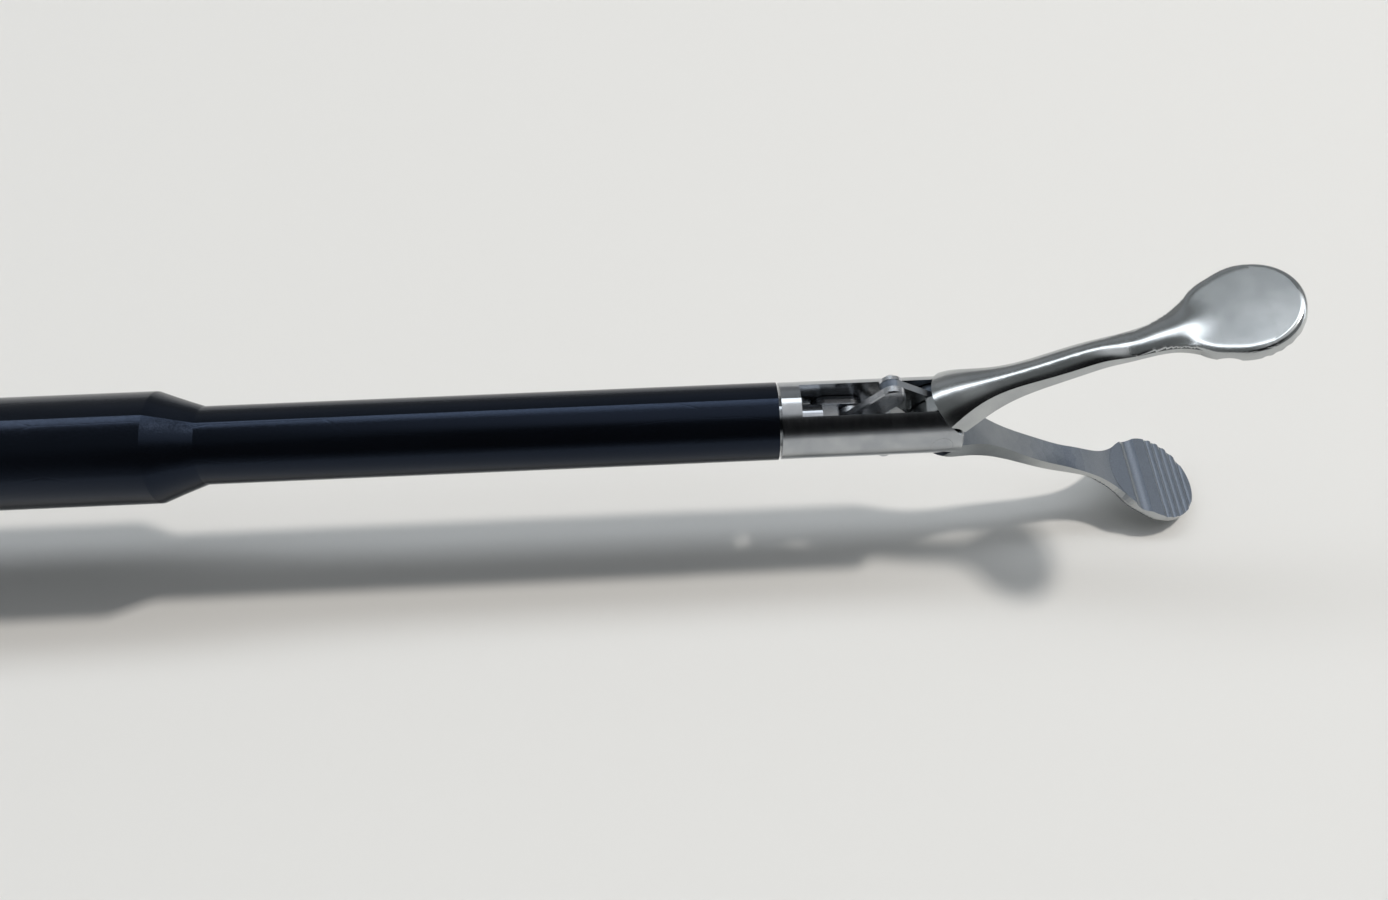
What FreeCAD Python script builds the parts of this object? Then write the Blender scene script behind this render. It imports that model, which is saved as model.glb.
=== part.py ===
import FreeCAD, Part
import math
import os

import Sketcher

# Laparoscopic grasper: a 10 mm insulated shaft with a 7 mm tip, a slotted steel yoke, two
# paddle jaws on one pivot, the links and rod that drive them, and a ring handle.
# Frame: X runs along the shaft to the jaws, Z is up, and the origin lies on the shaft's axis
# just in front of the port collar, where the insulation starts. At rest the jaws are
# open and the instrument lies on its side, on the knob and the lower end of the finger ring.

os.makedirs("parts", exist_ok=True)
doc = FreeCAD.newDocument("LaparoscopicGrasper")
sheet = doc.addObject("Spreadsheet::Sheet", "Sizes")
Vector = FreeCAD.Vector
UP = Vector(0, 0, 1)

# Driving sizes, in millimetres and degrees
driving_sizes = [
    ("work_length", 330.0, "start of the insulation to the pivot of the jaws"),
    ("sheath_dia", 10.0, "insulated shaft"),
    ("tip_dia", 7.0, "thinner insulated tube before the yoke"),
    ("tip_length", 50.8, "length of the thinner tube"),
    ("cone_length", 4.0, "step between the two tubes"),
    ("coat_wall", 0.5, "black insulation"),
    ("tube_wall", 0.7, "steel tube under it"),
    ("snug", 0.01, "clearance of a piece fixed in or on another"),
    ("running", 0.04, "clearance of a pin or rod that turns or slides"),
    ("yoke_dia", 6.9, "steel yoke"),
    ("pivot_setback", 14.4, "end of the insulation to the pivot"),
    ("yoke_slit", 0.25, "groove between the insulation and the yoke"),
    ("spigot_length", 6.0, "yoke's spigot in the tube"),
    ("slot_start", 2.0, "end of the insulation to the slot"),
    ("slot_width", 3.45, "slot that holds the tails and links"),
    ("cheek_nose", 1.9, "pivot to the blunt ends of the cheeks"),
    ("cheek_blunt", 1.0, "half height of those ends"),
    ("cheek_bevel_start", 1.2, "pivot back to where the bevels begin"),
    ("pivot_dia", 2.0, "pivot pin of the jaws"),
    ("small_pin_dia", 0.9, "pins of the links"),
    ("open_angle", 27.0, "each jaw at rest, from the axis"),
    ("tail_length", 5.7, "pivot to the pin of a tail"),
    ("tail_angle", 12.0, "tail from the axis when the jaws are closed"),
    ("link_length", 4.85, "pin to pin of a link"),
    ("eye_dia", 2.0, "round end of a tail"),
    ("link_eye_dia", 2.3, "larger end of a link"),
    ("link_tip_dia", 2.2, "end of a link on the rod"),
    ("link_slack", 0.25, "half the extra length of a link's rod hole"),
    ("link_side_slack", 0.12, "clearance beside the rod pin in that hole"),
    ("side_play", 0.08, "gap beside a link"),
    ("tail_thick", 0.72, "plate of a tail"),
    ("link_thick", 0.68, "plate of a link"),
    ("hub_dia", 4.9, "round hub of a jaw on the pivot"),
    ("pin_head_dia", 2.1, "head of a tail's pin"),
    ("pin_nub_dia", 1.2, "riveted end on that head"),
    ("jaw_reach", 26.2, "pivot to the middle of the paddle"),
    ("paddle_width", 9.0, "paddle across"),
    ("paddle_heel_width", 8.1, "paddle across its inner end"),
    ("paddle_stretch", 1.3, "distance between the two rounds of the paddle"),
    ("paddle_thick", 1.2, "paddle"),
    ("paddle_tilt", 4.0, "paddles touch at their tips first"),
    ("rim_round", 0.5, "round of the paddle's outer rim"),
    ("bite_gap", 0.06, "half the gap between closed jaws"),
    ("wave_depth", 0.36, "broad groove across the paddle"),
    ("wave_round", 1.3, "radius of that groove"),
    ("ridge_depth", 0.13, "fine grooves across the paddle"),
    ("ridge_round", 0.42, "radius of a fine groove"),
    ("ridge_pitch", 0.85, "fine groove to fine groove"),
    ("shoulder_gap", 0.15, "open jaws to the cheeks"),
    ("rod_dia", 2.4, "drive rod"),
    ("clevis_dia", 2.8, "round part of the rod's clevis"),
    ("clevis_length", 9.0, "pin to the back of the clevis"),
    ("clevis_eye_dia", 2.3, "round end of the clevis"),
    ("ball_dia", 4.4, "ball at the end of the drive rod"),
    ("bush_length", 9.0, "bush that guides the rod"),
    ("collar_dia", 15.0, "port collar"),
    ("collar_length", 20.0, "port collar"),
    ("collar_gap", 0.5, "collar's face back from the start of the insulation"),
    ("tube_seat", 6.0, "steel tube in the hub"),
    ("port_height", 17.0, "axis to the mouth of the flush port"),
    ("port_bore", 4.3, "mouth of the flush port"),
    ("port_dia", 6.4, "flush port outside"),
    ("port_boss_dia", 9.0, "boss that holds the flush port"),
    ("knob_dia", 30.4, "rotation knob over its lobes"),
    ("knob_length", 21.0, "rotation knob"),
    ("flute_dia", 8.0, "round of a flute of the knob"),
    ("flute_depth", 2.2, "depth of a flute"),
    ("knob_gap", 0.8, "knob to the handle"),
    ("hub_shaft_dia", 11.9, "hub in the handle"),
    ("ring_cord_dia", 1.5, "O-rings"),
    ("catch_width", 3.0, "groove for the lock button"),
    ("catch_depth", 2.0, "its depth"),
    ("barrel_dia", 18.0, "front of the handle"),
    ("barrel_length", 24.0, "front of the handle"),
    ("housing_length", 27.0, "housing of the lever's head"),
    ("housing_thick", 15.0, "housing across"),
    ("housing_top", 10.5, "axis to the top of the housing"),
    ("neck_thick", 11.0, "neck of the finger grip across"),
    ("neck_width", 14.0, "neck in the plane of the handle, at the finger ring"),
    ("neck_round", 2.5, "round of the neck's long edges"),
    ("housing_round", 1.9, "round of the housing's edges"),
    ("lever_drop", 8.95, "shaft axis down to the lever's pivot"),
    ("lever_setback", 13.0, "front of the housing to the lever's pivot"),
    ("lever_thick", 6.0, "thumb lever"),
    ("lever_head_dia", 10.4, "round of the lever on its pivot"),
    ("lever_play", 0.3, "gap beside the lever and the toothed bar"),
    ("screw_head_dia", 7.4, "heads of the lever's screw and nut"),
    ("screw_head_rise", 1.3, "thickness of those heads"),
    ("lever_pin_dia", 4.0, "shoulder screw of the lever"),
    ("lever_travel", 18.0, "turn of the lever that closes the jaws"),
    ("rod_travel", 2.8, "travel of the rod in that turn"),
    ("ring_band", 5.6, "ring's section in the plane of the handle"),
    ("ring_thick", 10.0, "ring's section across the handle"),
    ("finger_ring_height", 34.0, "finger ring inside, along the grip"),
    ("finger_ring_width", 22.0, "finger ring inside, across"),
    ("thumb_ring_height", 27.0, "thumb ring inside"),
    ("thumb_ring_width", 22.0, "thumb ring inside, across"),
    ("grip_drop", 62.0, "shaft axis down to the middle of the finger ring"),
    ("grip_ahead", 30.0, "lever's pivot forward to the middle of the finger ring"),
    ("thumb_drop", 50.0, "lever's pivot down to the middle of the thumb ring"),
    ("thumb_back", 22.0, "lever's pivot back to the middle of the thumb ring"),
    ("ratchet_radius", 27.0, "middle of the toothed bar, from the lever's pivot"),
    ("ratchet_depth", 3.6, "toothed bar, radially"),
    ("ratchet_thick", 2.4, "toothed bar across"),
    ("tooth_depth", 0.7, "ratchet tooth"),
    ("tooth_angle", 2.0, "tooth to tooth, about the lever's pivot"),
    ("bar_foot_angle", -121.0, "foot of the toothed bar in the lever"),
    ("bar_tip_angle", -35.0, "tip of the toothed bar"),
    ("lower_screw_angle", -117.0, "lower screw of the bar"),
    ("upper_screw_angle", -110.0, "upper screw of the bar"),
    ("bar_screw_dia", 1.8, "screws of the bar"),
    ("pawl_dia", 4.6, "round of the release lever on its pin"),
    ("pawl_pin_dia", 2.0, "pin of the release lever"),
    ("pawl_thick", 2.4, "release lever in the slot"),
    ("pawl_pad_thick", 8.0, "finger pad of the release lever"),
    ("nose_back", 6.5, "release lever's pin back to its nose"),
    ("nose_drop", 2.85, "release lever's pin down to its nose"),
    ("nose_round", 0.9, "radius of the nose"),
    ("nose_gap", 0.2, "nose to the crests of the teeth, with the ratchet off"),
    ("nose_angle", -47.5, "nose, about the lever's pivot"),
    ("button_dia", 7.0, "lock button"),
    ("button_rise", 2.6, "lock button above the barrel"),
    ("button_travel", 1.2, "way of the lock button down to the groove's floor"),
    ("contact_dia", 4.0, "contact pin for the high-frequency lead"),
    ("contact_length", 12.0, "contact pin above its collar"),
]


# A size keeps the expression that binds it to the sheet beside its present value
class Size:
    def __init__(self, text, value):
        self.text = text
        self.value = value

    def __add__(self, other):
        return join(self, "+", other, number(self) + number(other))

    def __radd__(self, other):
        return join(other, "+", self, number(self) + number(other))

    def __sub__(self, other):
        return join(self, "-", other, number(self) - number(other))

    def __rsub__(self, other):
        return join(other, "-", self, number(other) - number(self))

    def __mul__(self, other):
        return join(self, "*", other, number(self) * number(other))

    __rmul__ = __mul__

    def __truediv__(self, other):
        return join(self, "/", other, number(self) / number(other))

    def __neg__(self):
        return join(-1, "*", self, -self.value)


def number(size):
    return size.value if isinstance(size, Size) else float(size)


def text(size):
    return size.text if isinstance(size, Size) else repr(float(size))


def join(left, sign, right, value):
    return Size("(" + text(left) + " " + sign + " " + text(right) + ")", value)


def sin(angle):
    return Size("sin(" + text(angle) + ")", math.sin(math.radians(number(angle))))


def cos(angle):
    return Size("cos(" + text(angle) + ")", math.cos(math.radians(number(angle))))


def root(size):
    return Size("sqrt(" + text(size) + ")", math.sqrt(number(size)))


def arcsin(size):
    return Size("(asin(" + text(size) + ") / 1deg)", math.degrees(math.asin(number(size))))


class Sizes:
    rows = 0

    # A driving size is a plain number in the sheet
    def drive(self, name, value, note):
        self.rows += 1
        sheet.set("A%d" % self.rows, note)
        sheet.set("B%d" % self.rows, repr(value))
        sheet.setAlias("B%d" % self.rows, name)
        setattr(self, name, Size("Sizes." + name, value))

    # A derived size is a formula in the sheet
    def derive(self, name, size, note):
        self.rows += 1
        sheet.set("A%d" % self.rows, note)
        sheet.set("B%d" % self.rows, "=" + size.text.replace("Sizes.", ""))
        sheet.setAlias("B%d" % self.rows, name)
        setattr(self, name, Size("Sizes." + name, size.value))


s = Sizes()
for name, value, note in driving_sizes:
    s.drive(name, value, note)

# Places along the shaft
s.derive("tube_end", s.work_length - s.pivot_setback, "end of the insulation")
s.derive("cone_end", s.tube_end - s.tip_length, "small end of the cone")
s.derive("cone_start", s.cone_end - s.cone_length, "large end of the cone")
s.derive("slot_back", s.slot_start - s.pivot_setback, "back of the slot, from the pivot")
s.derive("coat_bore", s.sheath_dia / 2 - s.coat_wall, "insulation's inner radius")
s.derive("tip_coat_bore", s.tip_dia / 2 - s.coat_wall, "the same on the thin tube")
s.derive("tube_bore", s.coat_bore - s.snug - s.tube_wall, "steel tube's inner radius")
s.derive("tip_bore", s.tip_coat_bore - s.snug - s.tube_wall, "the same in the thin tube")

# The linkage at rest: the jaws open as the rod goes forward
s.derive("tail_open", s.tail_angle + s.open_angle, "tail from the axis at rest")
s.derive("tail_x", -s.tail_length * cos(s.tail_open), "tail pin along the axis")
s.derive("tail_z", s.tail_length * sin(s.tail_open), "tail pin off the axis")
s.derive("link_angle", arcsin(s.tail_z / s.link_length), "link from the axis at rest")
s.derive("rod_x", s.tail_x - s.link_length * cos(s.link_angle), "rod pin from the pivot")
s.derive("plate_in", s.side_play * 0.75, "middle plane to a tail")
s.derive("plate_out", s.plate_in + s.tail_thick, "outer side of a tail")
s.derive("hub_out", s.slot_width / 2 - s.side_play, "outer side of a hub")
s.derive("link_in", s.side_play / 2, "middle plane to a link")
s.derive("link_out", s.link_in + s.link_thick, "outer side of a link")

# Places along the handle
s.derive("knob_front", -s.collar_length - 0.5, "front of the knob")
s.derive("handle_front", s.knob_front - s.knob_length - s.knob_gap, "front of the handle")
s.derive("housing_front", s.handle_front - s.barrel_length, "front of the housing")
s.derive("lever_x", s.housing_front - s.lever_setback, "lever's pivot along the shaft")
s.derive("grip_x", s.lever_x + s.grip_ahead, "middle of the finger ring")
s.derive("ball_x", s.lever_x + s.rod_travel / 2, "ball of the rod at rest")
s.derive("bar_outer", s.ratchet_radius + s.ratchet_depth / 2, "crests of the toothed bar")
s.derive("bar_inner", s.ratchet_radius - s.ratchet_depth / 2, "smooth side of the toothed bar")
s.derive("nose_path", s.bar_outer + s.nose_gap + s.nose_round, "lever's pivot to the nose")
s.derive("pawl_ahead", s.nose_path * cos(s.nose_angle) + s.nose_back, "pivot to the pawl's pin")
s.derive("pawl_drop", -s.nose_path * sin(s.nose_angle) - s.nose_drop, "pivot down to that pin")
s.derive("grip_reach", s.grip_drop + s.finger_ring_height / 2 + s.ring_band, "axis to the grip's end")
s.derive("lie_angle", arcsin((s.knob_dia - s.ring_thick) / (2 * s.grip_reach)), "handle's slope")
s.derive("handle_turn", s.lie_angle - 90, "turn of the handle about the shaft")

parts = []


def keep(piece, name):
    piece.Label = name
    parts.append(piece)
    return piece


def bind(piece, name, size):
    if isinstance(size, Size):
        piece.setExpression(name, size.text)
    else:
        piece.setExpression(name, repr(float(size)))


def turn(axis, angle):
    return "rotation(vector(%d; %d; %d); %s)" % (axis + (text(angle),))


def spot(x, y, z, turned="rotation(vector(0; 0; 1); 0)"):
    return "placement(vector(%s; %s; %s); %s)" % (text(x), text(y), text(z), turned)


ALONG_X = turn((0, 1, 0), 90)
ALONG_Y = turn((0, 0, 1), 90)
AGAINST_Y = turn((0, 0, 1), -90)
HANDLE = spot(0, 0, 0, turn((1, 0, 0), s.handle_turn))


def place(piece, *spots):
    piece.setExpression("Placement", " * ".join(spots))
    return piece


# Sketches: every corner is held by its distances from the sketch's origin
def new_body(name):
    return keep(doc.addObject("PartDesign::Body", name), name)


def sketch_on(body, role, offset=0):
    sketch = body.newObject("Sketcher::SketchObject", "Profile")
    sketch.AttachmentSupport = [([p for p in body.Origin.OriginFeatures if p.Role == role][0], "")]
    sketch.MapMode = "FlatFace"
    bind(sketch, "AttachmentOffset.Base.z", offset)
    return sketch


def hold(sketch, kind, geometry, point, size):
    if kind == "Radius":
        index = sketch.addConstraint(Sketcher.Constraint(kind, geometry, number(size)))
    else:
        index = sketch.addConstraint(Sketcher.Constraint(kind, -1, 1, geometry, point, number(size)))
    if isinstance(size, Size):
        sketch.setExpression("Constraints[%d]" % index, size.text)


def hold_point(sketch, geometry, point, x, y):
    hold(sketch, "DistanceX", geometry, point, x)
    hold(sketch, "DistanceY", geometry, point, y)


# A corner (x, y, radius) starts an arc to the next corner: the arc bulges out of an outline
# drawn counterclockwise when the radius is positive, and into it when negative
def outline(sketch, corners):
    ends = []
    count = len(corners)
    for i, corner in enumerate(corners):
        following = corners[(i + 1) % count]
        p = Vector(number(corner[0]), number(corner[1]), 0)
        q = Vector(number(following[0]), number(following[1]), 0)
        if len(corner) == 2:
            ends.append((sketch.addGeometry(Part.LineSegment(p, q), False), 1, 2))
            continue
        radius = number(corner[2])
        chord = q - p
        left = Vector(-chord.y, chord.x, 0).normalize()
        rise = math.sqrt(max(radius ** 2 - chord.Length ** 2 / 4, 0))
        centre = (p + q) * 0.5 + left * math.copysign(rise, radius)
        first, last = (p, q) if radius > 0 else (q, p)
        a = math.atan2(first.y - centre.y, first.x - centre.x)
        b = math.atan2(last.y - centre.y, last.x - centre.x)
        b += 2 * math.pi if b < a else 0
        arc = Part.ArcOfCircle(Part.Circle(centre, UP, abs(radius)), a, b)
        ends.append((sketch.addGeometry(arc, False),) + ((1, 2) if radius > 0 else (2, 1)))
    for i, (edge, start, end) in enumerate(ends):
        after, after_start, after_end = ends[(i + 1) % count]
        sketch.addConstraint(Sketcher.Constraint("Coincident", edge, end, after, after_start))
        hold_point(sketch, edge, start, corners[i][0], corners[i][1])
        if len(corners[i]) == 3:
            radius = corners[i][2]
            hold(sketch, "Radius", edge, 0, radius if number(radius) > 0 else -1 * radius)
    return sketch


def circle(sketch, x, y, radius):
    round_edge = Part.Circle(Vector(number(x), number(y), 0), UP, number(radius))
    edge = sketch.addGeometry(round_edge, False)
    hold_point(sketch, edge, 3, x, y)
    hold(sketch, "Radius", edge, 0, radius)
    return sketch


# Two rounds joined by their common tangents: an eye plate, a paddle or a slot
def capsule(sketch, x1, y1, r1, x2, y2, r2):
    c1 = Vector(number(x1), number(y1), 0)
    c2 = Vector(number(x2), number(y2), 0)
    line = c2 - c1
    along = math.atan2(line.y, line.x)
    lean = math.acos((number(r1) - number(r2)) / line.Length)
    up, down = along + lean, along - lean
    first = Part.ArcOfCircle(Part.Circle(c1, UP, number(r1)), up, down + 2 * math.pi)
    second = Part.ArcOfCircle(Part.Circle(c2, UP, number(r2)), down, up)
    a = sketch.addGeometry(first, False)
    b = sketch.addGeometry(second, False)
    low = Vector(math.cos(down), math.sin(down), 0)
    high = Vector(math.cos(up), math.sin(up), 0)
    c = sketch.addGeometry(Part.LineSegment(c1 + low * number(r1), c2 + low * number(r2)), False)
    d = sketch.addGeometry(Part.LineSegment(c2 + high * number(r2), c1 + high * number(r1)), False)
    for edge, point, other, other_point in ((a, 2, c, 1), (c, 2, b, 1), (b, 2, d, 1), (d, 2, a, 1)):
        sketch.addConstraint(Sketcher.Constraint("Tangent", edge, point, other, other_point))
    hold_point(sketch, a, 3, x1, y1)
    hold_point(sketch, b, 3, x2, y2)
    hold(sketch, "Radius", a, 0, r1)
    hold(sketch, "Radius", b, 0, r2)
    return sketch


# Features
def add(body, kind, sketch, length, both_ways=True):
    feature = body.newObject("PartDesign::" + kind, kind)
    feature.Profile = sketch
    bind(feature, "Length", length)
    feature.SideType = "Symmetric" if both_ways else "One side"
    sketch.Visibility = False
    return feature


def spin(body, kind, corners):
    sketch = outline(sketch_on(body, "XZ_Plane"), corners)
    feature = body.newObject("PartDesign::" + kind, kind)
    feature.Profile = sketch
    feature.ReferenceAxis = (sketch, ["H_Axis"])
    feature.Angle = 360
    return feature


# A plate in the plane of the jaws, from one distance off the middle plane to another
def plate_sketch(body, low, high):
    return sketch_on(body, "XZ_Plane", -0.5 * (low + high))


def dress(body, kind, base, edges, size):
    feature = body.newObject("PartDesign::" + kind, kind)
    feature.Base = (base, edges)
    bind(feature, "Radius" if kind == "Fillet" else "Size", size)
    return feature


# Edges whose every point lies at the given distance along an axis
def edges_at(feature, axis, distance):
    doc.recompute()
    names = []
    for i, edge in enumerate(feature.Shape.Edges):
        points = [getattr(p, axis) for p in edge.discretize(5)]
        if all(abs(p - distance) < 1e-4 for p in points):
            names.append("Edge%d" % (i + 1))
    return names


# Rounds the edges on both flat sides of a plate
def round_sides(body, plate, thick, radius):
    half = number(thick) / 2
    dress(body, "Fillet", plate, edges_at(plate, "y", half) + edges_at(plate, "y", -half), radius)


def turned(name, corners):
    body = new_body(name)
    spin(body, "Revolution", corners)
    return body


# Shaft: steel tube and black insulation, stepped by a cone
def make_shaft():
    tube_back = -s.collar_length - s.tube_seat
    sleeve = turned("insulation_sleeve", [
        (0, s.coat_bore), (s.cone_start, s.coat_bore), (s.cone_end, s.tip_coat_bore),
        (s.tube_end, s.tip_coat_bore), (s.tube_end, s.tip_dia / 2), (s.cone_end, s.tip_dia / 2),
        (s.cone_start, s.sheath_dia / 2), (0, s.sheath_dia / 2)])
    tube = turned("shaft_tube", [
        (tube_back, s.tube_bore), (s.cone_start, s.tube_bore), (s.cone_end, s.tip_bore),
        (s.tube_end, s.tip_bore), (s.tube_end, s.tip_coat_bore - s.snug),
        (s.cone_end, s.tip_coat_bore - s.snug), (s.cone_start, s.coat_bore - s.snug),
        (tube_back, s.coat_bore - s.snug)])
    bush_front = s.tube_end - s.spigot_length - s.snug
    bush = turned("guide_bush", [
        (bush_front - s.bush_length, s.rod_dia / 2 + s.running),
        (bush_front, s.rod_dia / 2 + s.running), (bush_front, s.tip_bore - s.snug),
        (bush_front - s.bush_length, s.tip_bore - s.snug)])
    return sleeve, tube, bush


# Yoke: origin at the pivot of the jaws
def make_yoke():
    body = new_body("yoke")
    radius = s.yoke_dia / 2
    spigot = s.tip_bore - s.snug
    back = -s.pivot_setback - s.spigot_length
    shoulder = s.yoke_slit - s.pivot_setback
    bevel = 0.15
    spin(body, "Revolution", [
        (back, 0), (s.cheek_nose, 0), (s.cheek_nose, radius - bevel),
        (s.cheek_nose - bevel, radius), (shoulder, radius), (shoulder, spigot), (back, spigot)])
    bore = s.clevis_dia / 2 + s.running
    spin(body, "Groove", [
        (back, 0), (s.slot_back + 0.5, 0), (s.slot_back + 0.5, bore), (back, bore)])
    # Room behind the slot for the clevis, which draws back into the yoke
    eye_back = s.rod_x - s.rod_travel - s.clevis_eye_dia * 1.5 - 0.3
    room = root(s.hub_out * s.hub_out + s.clevis_eye_dia * s.clevis_eye_dia / 4) + 2 * s.running
    spin(body, "Groove", [
        (eye_back, 0), (s.slot_back + 0.5, 0), (s.slot_back + 0.5, room), (eye_back, room)])
    slot = outline(sketch_on(body, "XY_Plane"), [
        (s.slot_back, -s.slot_width / 2), (s.cheek_nose + 1, -s.slot_width / 2),
        (s.cheek_nose + 1, s.slot_width / 2), (s.slot_back, s.slot_width / 2)])
    add(body, "Pocket", slot, s.yoke_dia * 2)
    for side in (1, -1):
        corners = [(-s.cheek_bevel_start, side * radius), (s.cheek_nose, side * s.cheek_blunt),
                   (s.cheek_nose + 1, side * s.cheek_blunt), (s.cheek_nose + 1, side * (radius + 1)),
                   (-s.cheek_bevel_start, side * (radius + 1))]
        add(body, "Pocket", outline(sketch_on(body, "XZ_Plane"), corners[::side]), s.yoke_dia * 2)
    hole = circle(sketch_on(body, "XZ_Plane"), 0, 0, s.pivot_dia / 2 + s.snug)
    add(body, "Pocket", hole, s.yoke_dia * 2)
    place(body, spot(s.work_length, 0, 0))


# Pivot pin of the jaws, ground flush with the yoke
def make_pivot_pin():
    pin = doc.addObject("Part::Cylinder", "PinBar")
    bind(pin, "Radius", s.pivot_dia / 2)
    bind(pin, "Height", s.yoke_dia)
    place(pin, spot(0, s.yoke_dia / 2, 0, turn((1, 0, 0), 90)))
    envelope = doc.addObject("Part::Cylinder", "YokeRound")
    bind(envelope, "Radius", s.yoke_dia / 2)
    bind(envelope, "Height", s.yoke_dia)
    place(envelope, spot(-s.yoke_dia / 2, 0, 0, ALONG_X))
    flush = keep(doc.addObject("Part::Common", "pivot_pin"), "pivot_pin")
    flush.Base = pin
    flush.Tool = envelope
    place(flush, spot(s.work_length, 0, 0))


# A cross section of a jaw's arm: flat inside, square sides and a round back
def arm_section(body, x, half_width, inside, side_top, crown):
    sketch = sketch_on(body, "YZ_Plane", x)
    rise = crown - side_top
    radius = (rise * rise + half_width * half_width) / (2 * rise)
    outline(sketch, [(-half_width, inside), (half_width, inside),
                     (half_width, side_top, radius), (-half_width, side_top)])
    return sketch


# Jaw: origin at the pivot, drawn closed, with its tail below the axis on the -Y side
def make_jaw(name, roll, opening):
    body = new_body(name)
    back = s.yoke_dia / 2
    flush = s.bite_gap
    heel = s.jaw_reach - s.paddle_width / 2
    tip_x = s.jaw_reach + s.paddle_width / 2 + s.paddle_stretch / 2
    level = paddle_level(tip_x, flush)
    heel_lift = level(heel)
    # The paddle: two rounds and their tangents, on a plane that slopes to the tip
    paddle = sketch_on(body, "XY_Plane")
    paddle.setExpression("AttachmentOffset", spot(tip_x, 0, flush, turn((0, 1, 0), s.paddle_tilt)))
    capsule(paddle, -s.paddle_width / 2, 0, s.paddle_width / 2,
            -s.paddle_width / 2 - s.paddle_stretch, 0, s.paddle_heel_width / 2)
    disc = add(body, "Pad", paddle, s.paddle_thick, both_ways=False)
    doc.recompute()
    dress(body, "Fillet", disc, outer_rim(disc, paddle), s.rim_round)
    # The arm: stations along it as (place, half width, inner face, top of the sides, crown)
    stations = [
        (0.4, back * 0.93, flush, back * 0.36, back * 0.985),
        (2.9, back * 0.74, flush, back * 0.62, back * 0.95),
        (s.jaw_reach * 0.19, back * 0.52, flush + 0.15, back * 0.66, back * 0.86),
        (s.jaw_reach * 0.38, back * 0.37, heel_lift, back * 0.58, back * 0.75),
        (s.jaw_reach * 0.60, back * 0.36, heel_lift + 0.1, back * 0.50, back * 0.64),
        (heel - s.jaw_reach * 0.08, back * 0.44, level(heel), level(heel) + s.paddle_thick * 0.42,
         level(heel) + s.paddle_thick * 0.84)]
    # They widen into the paddle: (share of its width from the heel, half width, side top, crown)
    for along, wide, side_top, crown in ((0, 0.27, 0.55, 1.04), (0.17, 0.39, 0.70, 1.04), (0.34, 0.455, 0.80, 0.99)):
        x = heel + s.paddle_width * along
        inside = level(x) + 0.02
        stations.append((x, s.paddle_heel_width * wide, inside, inside + s.paddle_thick * side_top,
                         inside + s.paddle_thick * crown))
    sections = [arm_section(body, *station) for station in stations]
    arm = body.newObject("PartDesign::AdditiveLoft", "Arm")
    arm.Profile = sections[0]
    arm.Sections = sections[1:]
    arm.Ruled = False
    # The shoulder's back face lies against the cheeks' bevels when the jaws are open
    bevel_x = s.cheek_nose + s.cheek_bevel_start
    bevel_z = back - s.cheek_blunt
    bevel_run = root(bevel_x * bevel_x + bevel_z * bevel_z)
    reach = (back * s.cheek_nose + s.cheek_blunt * s.cheek_bevel_start) / bevel_run + s.shoulder_gap
    slope = arcsin(bevel_x / bevel_run) - s.open_angle
    foot = reach / cos(slope)
    far = 2 * back
    top = foot - far * sin(slope) / cos(slope)
    shoulder = outline(sketch_on(body, "XZ_Plane"), [(foot, 0), (top, far), (-far, far), (-far, 0)])
    add(body, "Pocket", shoulder, s.yoke_dia * 2)
    corner = root(s.cheek_nose * s.cheek_nose + s.cheek_blunt * s.cheek_blunt)
    sweep = circle(sketch_on(body, "XZ_Plane"), 0, 0, corner + s.shoulder_gap / 2)
    add(body, "Pocket", sweep, s.yoke_dia * 2)
    # Hub, the tang that joins it to the arm, and the tail
    side = (-s.hub_out, -s.plate_in)
    hub_thick = s.hub_out - s.plate_in
    add(body, "Pad", circle(plate_sketch(body, *side), 0, 0, s.hub_dia / 2), hub_thick)
    tang = outline(plate_sketch(body, *side), [
        (0, flush), (foot, flush), (foot * 1.8, back * 0.3), (foot * 1.8, back * 0.6),
        (foot * 0.9, back * 0.86), (0, back * 0.86)])
    add(body, "Pad", tang, hub_thick)
    tail = capsule(plate_sketch(body, -s.plate_out, -s.plate_in), 0, 0, s.hub_dia * 0.36,
                   -s.tail_length * cos(s.tail_angle), -s.tail_length * sin(s.tail_angle),
                   s.eye_dia / 2)
    add(body, "Pad", tail, s.tail_thick)
    # Room for the hub of the other jaw, and the two pin holes
    room = circle(plate_sketch(body, 0, s.slot_width / 2), 0, 0, s.hub_dia / 2 + s.side_play)
    add(body, "Pocket", room, s.slot_width / 2)
    pivot = circle(sketch_on(body, "XZ_Plane"), 0, 0, s.pivot_dia / 2 + s.running)
    add(body, "Pocket", pivot, s.yoke_dia)
    eye = circle(sketch_on(body, "XZ_Plane"), -s.tail_length * cos(s.tail_angle),
                 -s.tail_length * sin(s.tail_angle), s.small_pin_dia / 2 + s.snug)
    add(body, "Pocket", eye, s.yoke_dia)
    # Grip: one broad groove near the heel and fine grooves toward the tip
    grip = sketch_on(body, "XZ_Plane")
    wave_x = heel + s.paddle_width * 0.30
    circle(grip, wave_x, level(wave_x) - s.wave_round + s.wave_depth, s.wave_round)
    for i in range(5):
        x = tip_x - s.ridge_pitch * (i + 1)
        circle(grip, x, level(x) - s.ridge_round + s.ridge_depth, s.ridge_round)
    add(body, "Pocket", grip, s.paddle_width * 2)
    place(body, spot(s.work_length, 0, 0, turn((0, 1, 0), opening)), spot(0, 0, 0, roll))
    return body


# Height of the paddle's inner face at a place along the jaw
def paddle_level(tip_x, flush):
    def level(x):
        return flush + (tip_x - x) * sin(s.paddle_tilt) / cos(s.paddle_tilt)
    return level


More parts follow.
